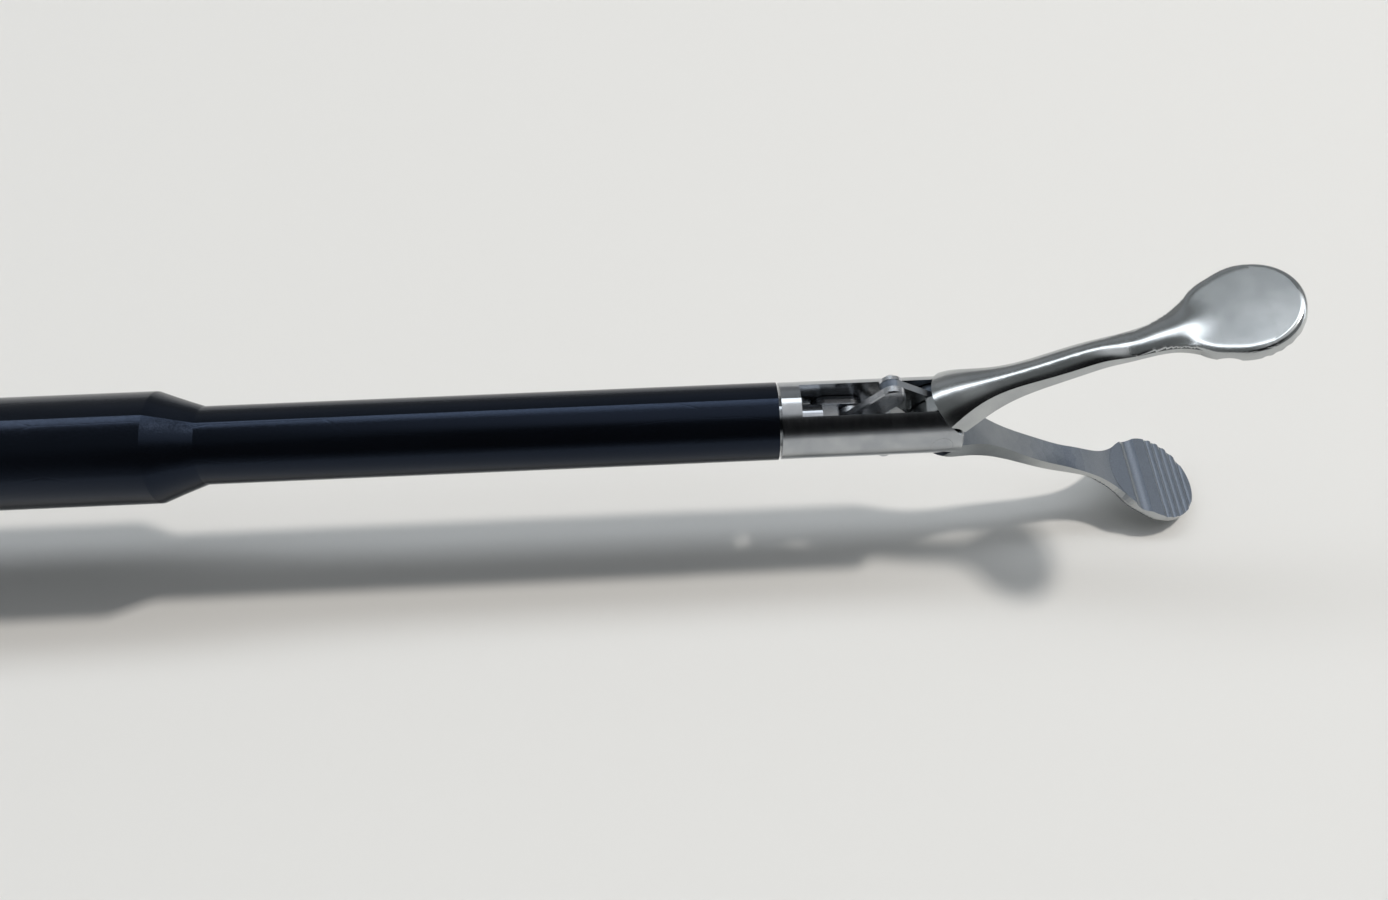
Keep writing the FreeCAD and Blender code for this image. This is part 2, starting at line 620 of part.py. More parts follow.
# Edges round the outer face of the paddle
def outer_rim(disc, paddle):
    outward = paddle.Placement.Rotation.multVec(UP)
    height = paddle.Placement.Base.dot(outward) + s.paddle_thick.value
    names = []
    for i, edge in enumerate(disc.Shape.Edges):
        if all(abs(p.dot(outward) - height) < 1e-3 for p in edge.discretize(5)):
            names.append("Edge%d" % (i + 1))
    return names


# Link: origin at the tail's pin, with its rod hole lengthened so that the rod may move evenly
def make_link(name, side):
    body = new_body(name)
    low, high = (s.link_in, s.link_out) if side > 0 else (-s.link_out, -s.link_in)
    plate = capsule(plate_sketch(body, low, high), 0, 0, s.link_eye_dia / 2,
                    -s.link_length, 0, s.link_tip_dia / 2)
    pad = add(body, "Pad", plate, s.link_thick)
    outer = high if side > 0 else low
    dress(body, "Chamfer", pad, edges_at(pad, "y", number(outer)), 0.12)
    holes = circle(sketch_on(body, "XZ_Plane"), 0, 0, s.small_pin_dia / 2 + s.running)
    hole = s.small_pin_dia / 2 + s.link_side_slack
    capsule(holes, -s.link_length + s.link_slack, 0, hole, -s.link_length - s.link_slack, 0, hole)
    add(body, "Pocket", holes, s.slot_width)
    place(body, spot(s.work_length + s.tail_x, 0, -side * s.tail_z),
          spot(0, 0, 0, turn((0, 1, 0), side * s.link_angle)))


# Pin of a tail: flush with its link, with a round head on the far side of the tail
def make_tail_pin(name, side):
    pin_radius = s.small_pin_dia / 2
    head, nub = s.pin_head_dia / 2, s.pin_nub_dia / 2
    under, end = s.plate_out + s.snug, s.hub_out
    step = 0.55 * (s.hub_out - s.plate_out) + s.plate_out
    edge = 0.12
    body = turned(name, [
        (-s.link_out, 0), (end, 0), (end, nub - edge), (end - edge, nub), (step, nub),
        (step, head - edge), (step - edge, head), (under, head), (under, pin_radius),
        (-s.link_out, pin_radius)])
    place(body, spot(s.work_length + s.tail_x, 0, -side * s.tail_z),
          spot(0, 0, 0, AGAINST_Y if side > 0 else ALONG_Y))


# Clevis of the drive rod: origin at its pin
def make_clevis():
    body = new_body("rod_clevis")
    bar = s.clevis_dia / 2
    neck = s.clevis_eye_dia / 2
    spin(body, "Revolution", [(-s.clevis_length, 0), (-neck, 0), (-neck, bar), (-s.clevis_length, bar)])
    eye = capsule(sketch_on(body, "XZ_Plane"), 0, 0, s.clevis_eye_dia / 2,
                  -s.clevis_eye_dia, 0, s.clevis_eye_dia / 2 + s.running)
    add(body, "Pad", eye, 2 * s.hub_out)
    gap = outline(sketch_on(body, "XY_Plane"), [
        (-s.clevis_eye_dia * 1.15, -s.plate_out), (s.clevis_eye_dia, -s.plate_out),
        (s.clevis_eye_dia, s.plate_out), (-s.clevis_eye_dia * 1.15, s.plate_out)])
    add(body, "Pocket", gap, s.clevis_dia * 2)
    hole = circle(sketch_on(body, "XZ_Plane"), 0, 0, s.small_pin_dia / 2 + s.snug)
    add(body, "Pocket", hole, s.slot_width)
    place(body, spot(s.work_length + s.rod_x, 0, 0))


def make_rod():
    make_clevis()
    pin = turned("rod_pin", [
        (-s.hub_out, 0), (s.hub_out, 0), (s.hub_out, s.small_pin_dia / 2),
        (-s.hub_out, s.small_pin_dia / 2)])
    place(pin, spot(s.work_length + s.rod_x, 0, 0, ALONG_Y))
    # Rod: origin at its ball
    ball = s.ball_dia / 2
    neck = s.rod_dia / 2
    front = s.work_length + s.rod_x - s.clevis_length - s.snug - s.ball_x
    start = root(ball * ball - neck * neck)
    rod = new_body("drive_rod")
    profile = sketch_on(rod, "XZ_Plane")
    outline(profile, [(-ball, 0), (front, 0), (front, neck), (start, neck, ball * 1.0),
                      (0, ball, ball * 1.0)])
    feature = rod.newObject("PartDesign::Revolution", "Revolution")
    feature.Profile = profile
    feature.ReferenceAxis = (profile, ["H_Axis"])
    feature.Angle = 360
    place(rod, spot(s.ball_x, 0, 0))


# Hub, collar, flush port and knob: all turn with the shaft
def make_hub():
    hub_radius = s.hub_shaft_dia / 2
    front = -s.collar_length
    back = s.housing_front + 1
    seat = s.coat_bore
    bore = s.rod_dia / 2 + 0.1
    cord = s.ring_cord_dia / 2
    catch_x = s.handle_front - s.barrel_length / 2
    body = turned("shaft_hub", [
        (back, bore), (front - s.tube_seat, bore), (front - s.tube_seat, seat), (front, seat),
        (front, hub_radius), (back + 0.6, hub_radius), (back, hub_radius - 0.6)])
    groove_depth = s.ring_cord_dia + 0.02
    ring_places = (s.handle_front - 5, s.housing_front + 5)
    for x in ring_places:
        spin(body, "Groove", [
            (x - cord - 0.1, hub_radius - groove_depth + 0.06),
            (x + cord + 0.1, hub_radius - groove_depth + 0.06),
            (x + cord + 0.1, hub_radius + 1), (x - cord - 0.1, hub_radius + 1)])
    spin(body, "Groove", [
        (catch_x - s.catch_width / 2, hub_radius - s.catch_depth),
        (catch_x + s.catch_width / 2, hub_radius - s.catch_depth),
        (catch_x + s.catch_width / 2, hub_radius + 1), (catch_x - s.catch_width / 2, hub_radius + 1)])
    seal_x = front - s.tube_seat - 8
    seal_radius = s.rod_dia + 1
    spin(body, "Groove", [(seal_x, 0), (seal_x + 4, 0), (seal_x + 4, seal_radius), (seal_x, seal_radius)])
    turned("rod_seal", [
        (seal_x + s.snug, s.rod_dia / 2 + s.running), (seal_x + 4 - s.snug, s.rod_dia / 2 + s.running),
        (seal_x + 4 - s.snug, seal_radius - s.snug), (seal_x + s.snug, seal_radius - s.snug)])
    for name, x in zip(("front_o_ring", "rear_o_ring"), ring_places):
        ring = keep(doc.addObject("Part::Torus", name), name)
        bind(ring, "Radius1", hub_radius + 0.05 - cord)
        bind(ring, "Radius2", cord)
        place(ring, spot(x, 0, 0, ALONG_X))


def make_collar():
    body = new_body("port_collar")
    radius = s.collar_dia / 2
    spin(body, "Revolution", [
        (-s.collar_length, s.coat_bore), (-s.collar_gap, s.coat_bore),
        (-s.collar_gap, radius - 1.2), (-s.collar_gap - 1.2, radius),
        (-s.collar_length + 1, radius), (-s.collar_length, radius - 1)])
    boss_x = -s.collar_length / 2
    boss_top = s.port_height - 6
    boss = circle(sketch_on(body, "XY_Plane", radius - 2), boss_x, 0, s.port_boss_dia / 2)
    pad = add(body, "Pad", boss, boss_top - radius + 2, both_ways=False)
    dress(body, "Fillet", pad, edges_at(pad, "z", number(boss_top)), 0.8)
    seat = circle(sketch_on(body, "XY_Plane", boss_top), boss_x, 0, s.port_dia / 2 + s.snug)
    add(body, "Pocket", seat, boss_top - radius + 0.8, both_ways=False)
    # Flush port: a steel tube with two lugs at its mouth
    port = new_body("flush_port")
    wall = s.port_dia / 2
    foot = radius - 0.8
    bore = s.port_bore / 2
    spin(port, "Revolution", [
        (foot, bore), (s.port_height, bore), (s.port_height, wall), (s.port_height - 1, wall), (s.port_height - 1.2, wall - 0.5),
        (boss_top + 1, wall - 0.5), (boss_top + 1, wall + 0.9), (boss_top + 0.02, wall + 0.9),
        (boss_top + 0.02, wall), (foot, wall)])
    lugs = outline(sketch_on(port, "YZ_Plane", s.port_height), [
        (-wall - 0.8, -1.4), (-wall + 0.3, -1.4), (-wall + 0.3, 1.4), (-wall - 0.8, 1.4)])
    outline(lugs, [(wall - 0.3, -1.4), (wall + 0.8, -1.4), (wall + 0.8, 1.4), (wall - 0.3, 1.4)])
    lug_pad = add(port, "Pad", lugs, 1.0, both_ways=False)
    lug_pad.Reversed = True
    place(port, spot(boss_x, 0, 0, turn((0, 1, 0), -90)))


def make_knob():
    body = new_body("rotation_knob")
    radius = s.knob_dia / 2
    back = s.knob_front - s.knob_length
    bore = s.hub_shaft_dia / 2 + s.snug
    spin(body, "Revolution", [
        (back, bore), (s.knob_front, bore), (s.knob_front, radius * 0.66),
        (s.knob_front - s.knob_length * 0.45, radius * 0.96, radius * 6),
        (back + 1.2, radius), (back, radius - 1.2)])
    flute = circle(sketch_on(body, "YZ_Plane", back), 0, radius + s.flute_dia / 2 - s.flute_depth,
                   s.flute_dia / 2)
    cut = add(body, "Pocket", flute, s.knob_length * 2)
    flutes = body.newObject("PartDesign::PolarPattern", "Flutes")
    flutes.Originals = [cut]
    flutes.Axis = ([p for p in body.Origin.OriginFeatures if p.Role == "X_Axis"][0], [""])
    flutes.Angle = 360
    flutes.Occurrences = 8
    body.Tip = flutes
    # The lobes, not the flutes, point up and down
    screw_x = s.knob_front - s.knob_length / 2
    hole = circle(sketch_on(body, "XY_Plane"), screw_x, 0, 1.5 + s.snug)
    lobe = turn((1, 0, 0), 22.5)
    hole.setExpression("AttachmentOffset", spot(0, 0, 0, turn((1, 0, 0), 22.5)))
    add(body, "Pocket", hole, radius * 2, both_ways=False).Reversed = True
    place(body, spot(0, 0, 0, lobe))
    screw = turned("knob_screw", [
        (bore, 0), (bore + 4, 0), (bore + 4, 1.2), (bore + 3.7, 1.5), (bore, 1.5)])
    place(screw, spot(screw_x, 0, 0, turn((1, 0, 0), 45)), spot(0, 0, 0, turn((0, 1, 0), -90)))


# A ring for fingers: an oval section carried round two half circles and two straights
def add_ring(body, x, z, width, height):
    path = sketch_on(body, "XZ_Plane")
    radius = (width + s.ring_band) / 2
    half = (height - width) / 2
    capsule(path, x, z + half, radius, x, z - half, radius)
    section = sketch_on(body, "XY_Plane")
    bind(section, "AttachmentOffset.Base.z", z)
    middle = x + radius
    corner = s.ring_band * 0.3
    flat = s.ring_thick / 2 - corner
    inner, outer = middle - s.ring_band / 2, middle + s.ring_band / 2
    outline(section, [
        (inner, -flat, corner), (inner + corner, -flat - corner),
        (outer - corner, -flat - corner, corner), (outer, -flat),
        (outer, flat, corner), (outer - corner, flat + corner),
        (inner + corner, flat + corner, corner), (inner, flat)])
    pipe = body.newObject("PartDesign::AdditivePipe", "Ring")
    pipe.Profile = section
    pipe.Spine = (path, ["Edge1", "Edge2", "Edge3", "Edge4"])
    return pipe


# Fixed handle: barrel for the hub, housing for the lever's head, neck and finger ring
def make_fixed_handle():
    body = new_body("fixed_handle")
    barrel = s.barrel_dia / 2
    back = s.housing_front - s.housing_length
    top = s.housing_top
    length = s.housing_length
    low = -s.lever_drop - length * 0.31
    nose = s.housing_front + length * 0.3
    neck_top = -barrel * 0.67
    neck_half = s.neck_width / 2
    ring_top = -s.grip_drop + s.finger_ring_height / 2 + s.ring_band * 0.2
    neck = outline(sketch_on(body, "XZ_Plane"), [
        (s.grip_x - neck_half, ring_top), (s.grip_x + neck_half, ring_top, -s.grip_drop * 0.65),
        (s.grip_x + neck_half * 0.6, neck_top),
        (s.grip_x - neck_half * 2.6, neck_top, -s.grip_drop * 0.55)])
    round_sides(body, add(body, "Pad", neck, s.neck_thick), s.neck_thick, s.neck_round)
    shell = outline(sketch_on(body, "XZ_Plane"), [
        (back + length * 0.15, low + length * 0.11), (back + length * 0.37, low),
        (s.housing_front - length * 0.07, low), (nose, -barrel * 0.67), (nose, barrel * 0.67),
        (s.housing_front - length * 0.07, top), (back + length * 0.26, top, length * 0.34),
        (back, top - length * 0.3)])
    round_sides(body, add(body, "Pad", shell, s.housing_thick), s.housing_thick, s.housing_round)
    spin(body, "Revolution", [
        (s.housing_front - length * 0.11, 0), (s.handle_front, 0), (s.handle_front, barrel * 0.84),
        (s.handle_front - barrel * 0.16, barrel), (s.housing_front - length * 0.11, barrel)])
    add_ring(body, s.grip_x, -s.grip_drop, s.finger_ring_width, s.finger_ring_height)
    # Bore for the hub, cavity for the lever's head, slot for the toothed bar
    bore = s.hub_shaft_dia / 2 + 0.1
    spin(body, "Groove", [
        (s.housing_front - 0.2, 0), (s.handle_front + 1, 0), (s.handle_front + 1, bore),
        (s.housing_front - 0.2, bore)])
    rod_room = s.rod_dia / 2 + 0.5
    spin(body, "Groove", [
        (s.lever_x, 0), (s.housing_front, 0), (s.housing_front, rod_room), (s.lever_x, rod_room)])
    head = s.lever_head_dia / 2
    behind, ahead = s.lever_x - head * 1.35, s.lever_x + head * 1.35
    under, over = low - head, s.lever_head_dia * 0.53
    cavity = outline(sketch_on(body, "XZ_Plane"), [
        (behind - head * 1.75, under), (ahead + head * 0.4, under), (ahead, -s.lever_drop),
        (ahead, over), (behind, over), (behind, -s.lever_drop)])
    add(body, "Pocket", cavity, s.lever_thick + 2 * s.lever_play)
    slot_low = -s.lever_drop - s.bar_outer + s.ratchet_depth * 0.6
    slot_top = -s.lever_drop - s.bar_outer * 0.31
    slot_back, slot_front = s.grip_x - neck_half * 3.5, s.grip_x + neck_half * 1.8
    slot = outline(sketch_on(body, "XZ_Plane"), [
        (slot_back, slot_low), (slot_front, slot_low), (slot_front, slot_top), (slot_back, slot_top)])
    add(body, "Pocket", slot, s.ratchet_thick + 2 * s.lever_play)
    holes = circle(sketch_on(body, "XZ_Plane"), s.lever_x, -s.lever_drop, s.lever_pin_dia / 2 + s.snug)
    circle(holes, s.lever_x + s.pawl_ahead, -s.lever_drop - s.pawl_drop, s.pawl_pin_dia / 2 + s.snug)
    add(body, "Pocket", holes, s.housing_thick * 2)
    screw_sink = 0.2
    for side in (1, -1):
        face = s.housing_thick / 2 * side
        recess = circle(sketch_on(body, "XZ_Plane", -1 * face), s.lever_x, -s.lever_drop,
                        s.screw_head_dia / 2 + s.lever_play / 3)
        add(body, "Pocket", recess, 2 * (s.screw_head_rise + screw_sink))
    # Seats of the lock button and the contact pin
    button_x = s.handle_front - s.barrel_length / 2
    button = circle(sketch_on(body, "XY_Plane", barrel + 2), button_x, 0, s.button_dia / 2 + 0.15)
    add(body, "Pocket", button, 4.5, both_ways=False)
    stem = circle(sketch_on(body, "XY_Plane", barrel + 2), button_x, 0, 1.2 + 0.1)
    add(body, "Pocket", stem, barrel, both_ways=False)
    seat = circle(sketch_on(body, "XY_Plane", top + 1), s.lever_x, 0, s.contact_dia / 2 + s.snug)
    add(body, "Pocket", seat, top - 3.5, both_ways=False)
    place(body, HANDLE)


# Thumb lever: origin at its pivot, drawn in the middle of its travel
def make_thumb_lever():
    body = new_body("thumb_lever")
    head_radius = s.lever_head_dia / 2
    head = capsule(sketch_on(body, "XZ_Plane"), 0, 0, head_radius,
                   0, s.lever_drop + 0.4, head_radius * 0.71)
    add(body, "Pad", head, s.lever_thick)
    ring_half = (s.thumb_ring_height - s.thumb_ring_width) / 2
    ring_radius = (s.thumb_ring_width + s.ring_band) / 2
    arm = capsule(sketch_on(body, "XZ_Plane"), 0, 0, head_radius, -s.thumb_back * 0.72,
                  -s.thumb_drop + ring_half + ring_radius * 0.96, head_radius * 0.81)
    add(body, "Pad", arm, s.lever_thick)
    add_ring(body, -s.thumb_back, -s.thumb_drop, s.thumb_ring_width, s.thumb_ring_height)
    ball = s.ball_dia / 2 + 0.08
    socket_floor = s.lever_drop - s.ball_dia * 0.68
    socket = circle(sketch_on(body, "XY_Plane", socket_floor), 0, 0, ball)
    add(body, "Pocket", socket, s.lever_head_dia, both_ways=False).Reversed = True
    throat = s.rod_dia / 2 + 0.2
    gap = outline(sketch_on(body, "XY_Plane", socket_floor), [
        (0, -throat), (s.lever_head_dia, -throat), (s.lever_head_dia, throat), (0, throat)])
    add(body, "Pocket", gap, s.lever_head_dia, both_ways=False).Reversed = True
    bore = circle(sketch_on(body, "XZ_Plane"), 0, 0, s.lever_pin_dia / 2 + s.running)
    add(body, "Pocket", bore, s.lever_thick * 2)
    foot = sector(sketch_on(body, "XZ_Plane"), s.bar_inner - s.snug, s.bar_outer + s.snug,
                  s.bar_foot_angle - 11, s.upper_screw_angle + 14)
    add(body, "Pocket", foot, s.ratchet_thick + 2 * s.snug)
    bar_screw_holes(body)
    place_lever(body)


def place_lever(piece, *spots):
    place(piece, HANDLE, spot(s.lever_x, 0, -s.lever_drop, turn((0, 1, 0), s.lever_travel / 2)), *spots)


# Places of the two screws that hold the toothed bar in the lever
def bar_screws():
    angles = (("lower", s.lower_screw_angle), ("upper", s.upper_screw_angle))
    return [(name, s.ratchet_radius * cos(a), s.ratchet_radius * sin(a)) for name, a in angles]


def bar_screw_holes(body):
    holes = sketch_on(body, "XZ_Plane")
    for name, x, z in bar_screws():
        circle(holes, x, z, s.bar_screw_dia / 2 + s.snug)
    add(body, "Pocket", holes, s.lever_thick * 2)


# Part of a ring between two radii and two angles, about the sketch's origin
def sector(sketch, inner, outer, first, last):
    return outline(sketch, [
        (outer * cos(first), outer * sin(first), outer), (outer * cos(last), outer * sin(last)),
        (inner * cos(last), inner * sin(last), -1 * inner), (inner * cos(first), inner * sin(first))])


# Toothed bar: origin at the lever's pivot
def make_ratchet():
    body = new_body("ratchet_bar")
    inner, outer = s.bar_inner, s.bar_outer
    tip = s.bar_tip_angle
    bar = sector(sketch_on(body, "XZ_Plane"), inner, outer, s.bar_foot_angle, tip)
    add(body, "Pad", bar, s.ratchet_thick)
    root_radius = outer - s.tooth_depth
    start = tip - 1.5 * s.tooth_angle
    tooth = outline(sketch_on(body, "XZ_Plane"), [
        (root_radius * cos(start), root_radius * sin(start)),
        (outer * cos(start), outer * sin(start)),
        ((outer + 0.3) * cos(start - 0.1), (outer + 0.3) * sin(start - 0.1)),
        ((outer + 0.3) * cos(start - s.tooth_angle), (outer + 0.3) * sin(start - s.tooth_angle))])
    cut = add(body, "Pocket", tooth, s.ratchet_thick * 2)
    teeth = body.newObject("PartDesign::PolarPattern", "Teeth")
    teeth.Originals = [cut]
    teeth.Axis = ([p for p in body.Origin.OriginFeatures if p.Role == "Y_Axis"][0], [""])
    teeth.Occurrences = 13
    bind(teeth, "Angle", s.tooth_angle * 12)
    body.Tip = teeth
    bar_screw_holes(body)
    place_lever(body)
    half = s.lever_thick / 2
    for name, x, z in bar_screws():
        screw = turned("ratchet_screw_" + name, [
            (-half, 0), (half, 0), (half, s.bar_screw_dia / 2), (-half, s.bar_screw_dia / 2)])
        place_lever(screw, spot(x, 0, z, ALONG_Y))


# Shoulder screw and nut of the lever, sunk into the housing
def make_lever_screw():
    top = s.housing_thick / 2 - 0.2
    pin, head, edge = s.lever_pin_dia / 2, s.screw_head_dia / 2, 0.5
    under = top - s.screw_head_rise + s.snug
    screw = turned("lever_screw", [
        (-under, 0), (top, 0), (top, head - edge), (top - edge, head), (under, head),
        (under, pin), (-under, pin)])
    place(screw, HANDLE, spot(s.lever_x, 0, -s.lever_drop, AGAINST_Y))
    nut_top = -under - 2 * s.snug
    nut = turned("lever_nut", [
        (-top, 0), (nut_top, 0), (nut_top, head), (-top + edge, head), (-top, head - edge)])
    place(nut, HANDLE, spot(s.lever_x, 0, -s.lever_drop, AGAINST_Y))


# Release lever: origin at its pin, with a nose on the toothed bar and a pad in front
def make_release():
    body = new_body("release_lever")
    nose = capsule(sketch_on(body, "XZ_Plane"), 0, 0, s.pawl_dia / 2,
                   -s.nose_back, -s.nose_drop, s.nose_round)
    add(body, "Pad", nose, s.pawl_thick)
    arm = capsule(sketch_on(body, "XZ_Plane"), 0, 0, s.pawl_dia / 2, 11, -2.2, 1.4)
    add(body, "Pad", arm, s.pawl_thick)
    pad = capsule(sketch_on(body, "XZ_Plane"), 9.5, -2.2, 1.5, 15.5, -5.4, 1.2)
    round_sides(body, add(body, "Pad", pad, s.pawl_pad_thick), s.pawl_pad_thick, 0.8)
    hole = circle(sketch_on(body, "XZ_Plane"), 0, 0, s.pawl_pin_dia / 2 + s.running)
    add(body, "Pocket", hole, s.pawl_thick * 4)
    at_pin = spot(s.lever_x + s.pawl_ahead, 0, -s.lever_drop - s.pawl_drop)
    place(body, HANDLE, at_pin)
    half_neck = s.neck_thick / 2 - 0.1
    pin = turned("release_pin", [
        (-half_neck, 0), (half_neck, 0), (half_neck, s.pawl_pin_dia / 2), (-half_neck, s.pawl_pin_dia / 2)])
    place(pin, HANDLE, at_pin, spot(0, 0, 0, ALONG_Y))


# Lock button over the hub's catch groove, and the contact pin
def make_button_and_contact():
    barrel = s.barrel_dia / 2
    radius = s.button_dia / 2
    stem_end = s.hub_shaft_dia / 2 - s.catch_depth + s.button_travel + 0.1
    top = barrel + s.button_rise
    cap = barrel - 0.6
    button = turned("lock_button", [
        (stem_end, 0), (top, 0), (top, radius - 0.8), (top - 0.8, radius), (cap, radius),
        (cap, 1.2), (stem_end, 1.2)])
    lift = turn((0, 1, 0), -90)
    place(button, HANDLE, spot(s.handle_front - s.barrel_length / 2, 0, 0, lift))
    pin = s.contact_dia / 2
    foot = 6.0
    base = s.housing_top + s.snug
    end = base + 2.5 + s.contact_length
    contact = turned("contact_pin", [
        (foot, 0), (end, 0), (end, pin - 0.7), (end - 1.2, pin), (base + 2.5, pin),
        (base + 2.5, pin + 0.9), (base + 2, pin + 1.5), (base, pin + 1.5), (base, pin), (foot, pin)])
    place(contact, HANDLE, spot(s.lever_x, 0, 0, lift))


make_shaft()
make_yoke()
make_pivot_pin()
make_jaw("upper_jaw", turn((1, 0, 0), 0), -s.open_angle)
make_jaw("lower_jaw", turn((1, 0, 0), 180), s.open_angle)
for side, name in ((1, "upper"), (-1, "lower")):
    make_link(name + "_link", side)
    make_tail_pin(name + "_tail_pin", side)
make_rod()
make_hub()
make_collar()
make_knob()
make_fixed_handle()
make_thumb_lever()
make_ratchet()
make_lever_screw()
make_release()
make_button_and_contact()
doc.recompute()

# Nothing is written unless every object and every piece is sound
for item in doc.Objects:
    if "Invalid" in item.State or "Error" in item.State:
        raise RuntimeError("failed: " + item.Name + " " + item.Label)
    if item.TypeId in ("PartDesign::Pocket", "PartDesign::Groove"):
        if item.Shape.Volume > item.BaseFeature.Shape.Volume - 1e-6:
            raise RuntimeError("cuts nothing: " + item.Name + " of " + item.getParentGeoFeatureGroup().Label)
for piece in parts:
    shape = piece.Shape
    if shape.isNull() or not shape.isValid() or len(shape.Solids) != 1:
        raise RuntimeError("unsound: " + piece.Label)
    shape.exportStep("parts/" + piece.Label + ".step")
print(len(parts), "pieces")
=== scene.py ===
import math

import bpy
import numpy as np
from mathutils import Matrix, Vector
from mathutils.bvhtree import BVHTree


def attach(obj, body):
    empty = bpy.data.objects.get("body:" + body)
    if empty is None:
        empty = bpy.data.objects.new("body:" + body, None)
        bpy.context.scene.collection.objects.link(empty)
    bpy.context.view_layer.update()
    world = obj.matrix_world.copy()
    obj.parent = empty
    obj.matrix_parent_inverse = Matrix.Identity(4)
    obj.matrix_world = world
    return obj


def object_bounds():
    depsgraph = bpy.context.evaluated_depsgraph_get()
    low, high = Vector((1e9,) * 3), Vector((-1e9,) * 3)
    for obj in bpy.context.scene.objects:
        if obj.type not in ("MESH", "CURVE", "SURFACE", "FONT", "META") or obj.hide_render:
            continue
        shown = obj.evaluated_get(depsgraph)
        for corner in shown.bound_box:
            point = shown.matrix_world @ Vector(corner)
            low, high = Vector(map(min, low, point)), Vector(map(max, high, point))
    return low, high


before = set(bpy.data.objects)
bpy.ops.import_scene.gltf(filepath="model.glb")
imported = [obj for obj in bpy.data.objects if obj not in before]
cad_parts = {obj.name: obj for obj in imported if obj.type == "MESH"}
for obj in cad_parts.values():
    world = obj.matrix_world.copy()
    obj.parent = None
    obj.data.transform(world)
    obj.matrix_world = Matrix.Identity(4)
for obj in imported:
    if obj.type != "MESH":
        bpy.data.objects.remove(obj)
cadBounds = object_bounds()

# Laparoscopic grasper on a pale table, seen from above its jaw end.
# Lengths in the dictionaries are in millimetres unless a note says otherwise.
mm = 0.001
noiseRange = {"From Min": 0.3, "From Max": 0.7}  # where most of a noise texture's values lie
print("grasper: frame loaded")


# sRGB hex to the linear values that a shader wants
def toLinear(hexText):
    channels = [int(hexText[i:i + 2], 16) / 255 for i in (1, 3, 5)]
    return [c / 12.92 if c <= 0.04045 else ((c + 0.055) / 1.055) ** 2.4 for c in channels] + [1.0]


# Texture scale for a pattern whose features measure this much in millimetres
def perMetre(size):
    return 1 / (size * mm)


# Adds a node: plain values are set on its sockets, and sockets are linked to them
def addNode(tree, kind, inputs=None, **settings):
    node = tree.nodes.new(kind)
    for name, value in settings.items():
        setattr(node, name, value)
    for name, value in (inputs or {}).items():
        if isinstance(value, bpy.types.NodeSocket):
            tree.links.new(value, node.inputs[name])
        else:
            node.inputs[name].default_value = value
    return node


def startMaterial(name):
    material = bpy.data.materials.new(name)
    material.use_nodes = True
    material.node_tree.nodes.clear()
    return material, material.node_tree


def endMaterial(material, surface):
    tree = material.node_tree
    addNode(tree, "ShaderNodeOutputMaterial", {"Surface": surface.outputs[0]})
    return material


def dress(nodeNames, material):
    for name in nodeNames:
        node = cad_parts[name]
        node.data.materials.clear()
        node.data.materials.append(material)


# Black fluoropolymer tube, extruded and shrunk on: a satin skin with a fine bluish grain in its
# highlight, and a few hair scratches from the trocar
insulation = {
    "black": "#050608",
    "haze": "#0b0e14",
    "cloud": 9.0,
    "roughness": 0.19,
    "smoother": 0.05,  # the grain takes the roughness down by this much, and up by the next
    "rougher": 0.08,
    "bloom": "#b4cfff",
    "gloss": 0.40,
    "ior": 1.46,
    "grain": 0.14,  # the real grain is finer, and is drawn this coarse so that it shows
    "grainStrength": 0.25,
    "grainDepth": 0.016,
    "scratch": 3.5,
    "scratchLength": 22.0,
    "scratchTurn": 0.35,  # radians
    "scratchWidth": 0.012,  # share of the space between scratches
    "scratchStrength": 0.15,
    "scratchDepth": 0.02,
}


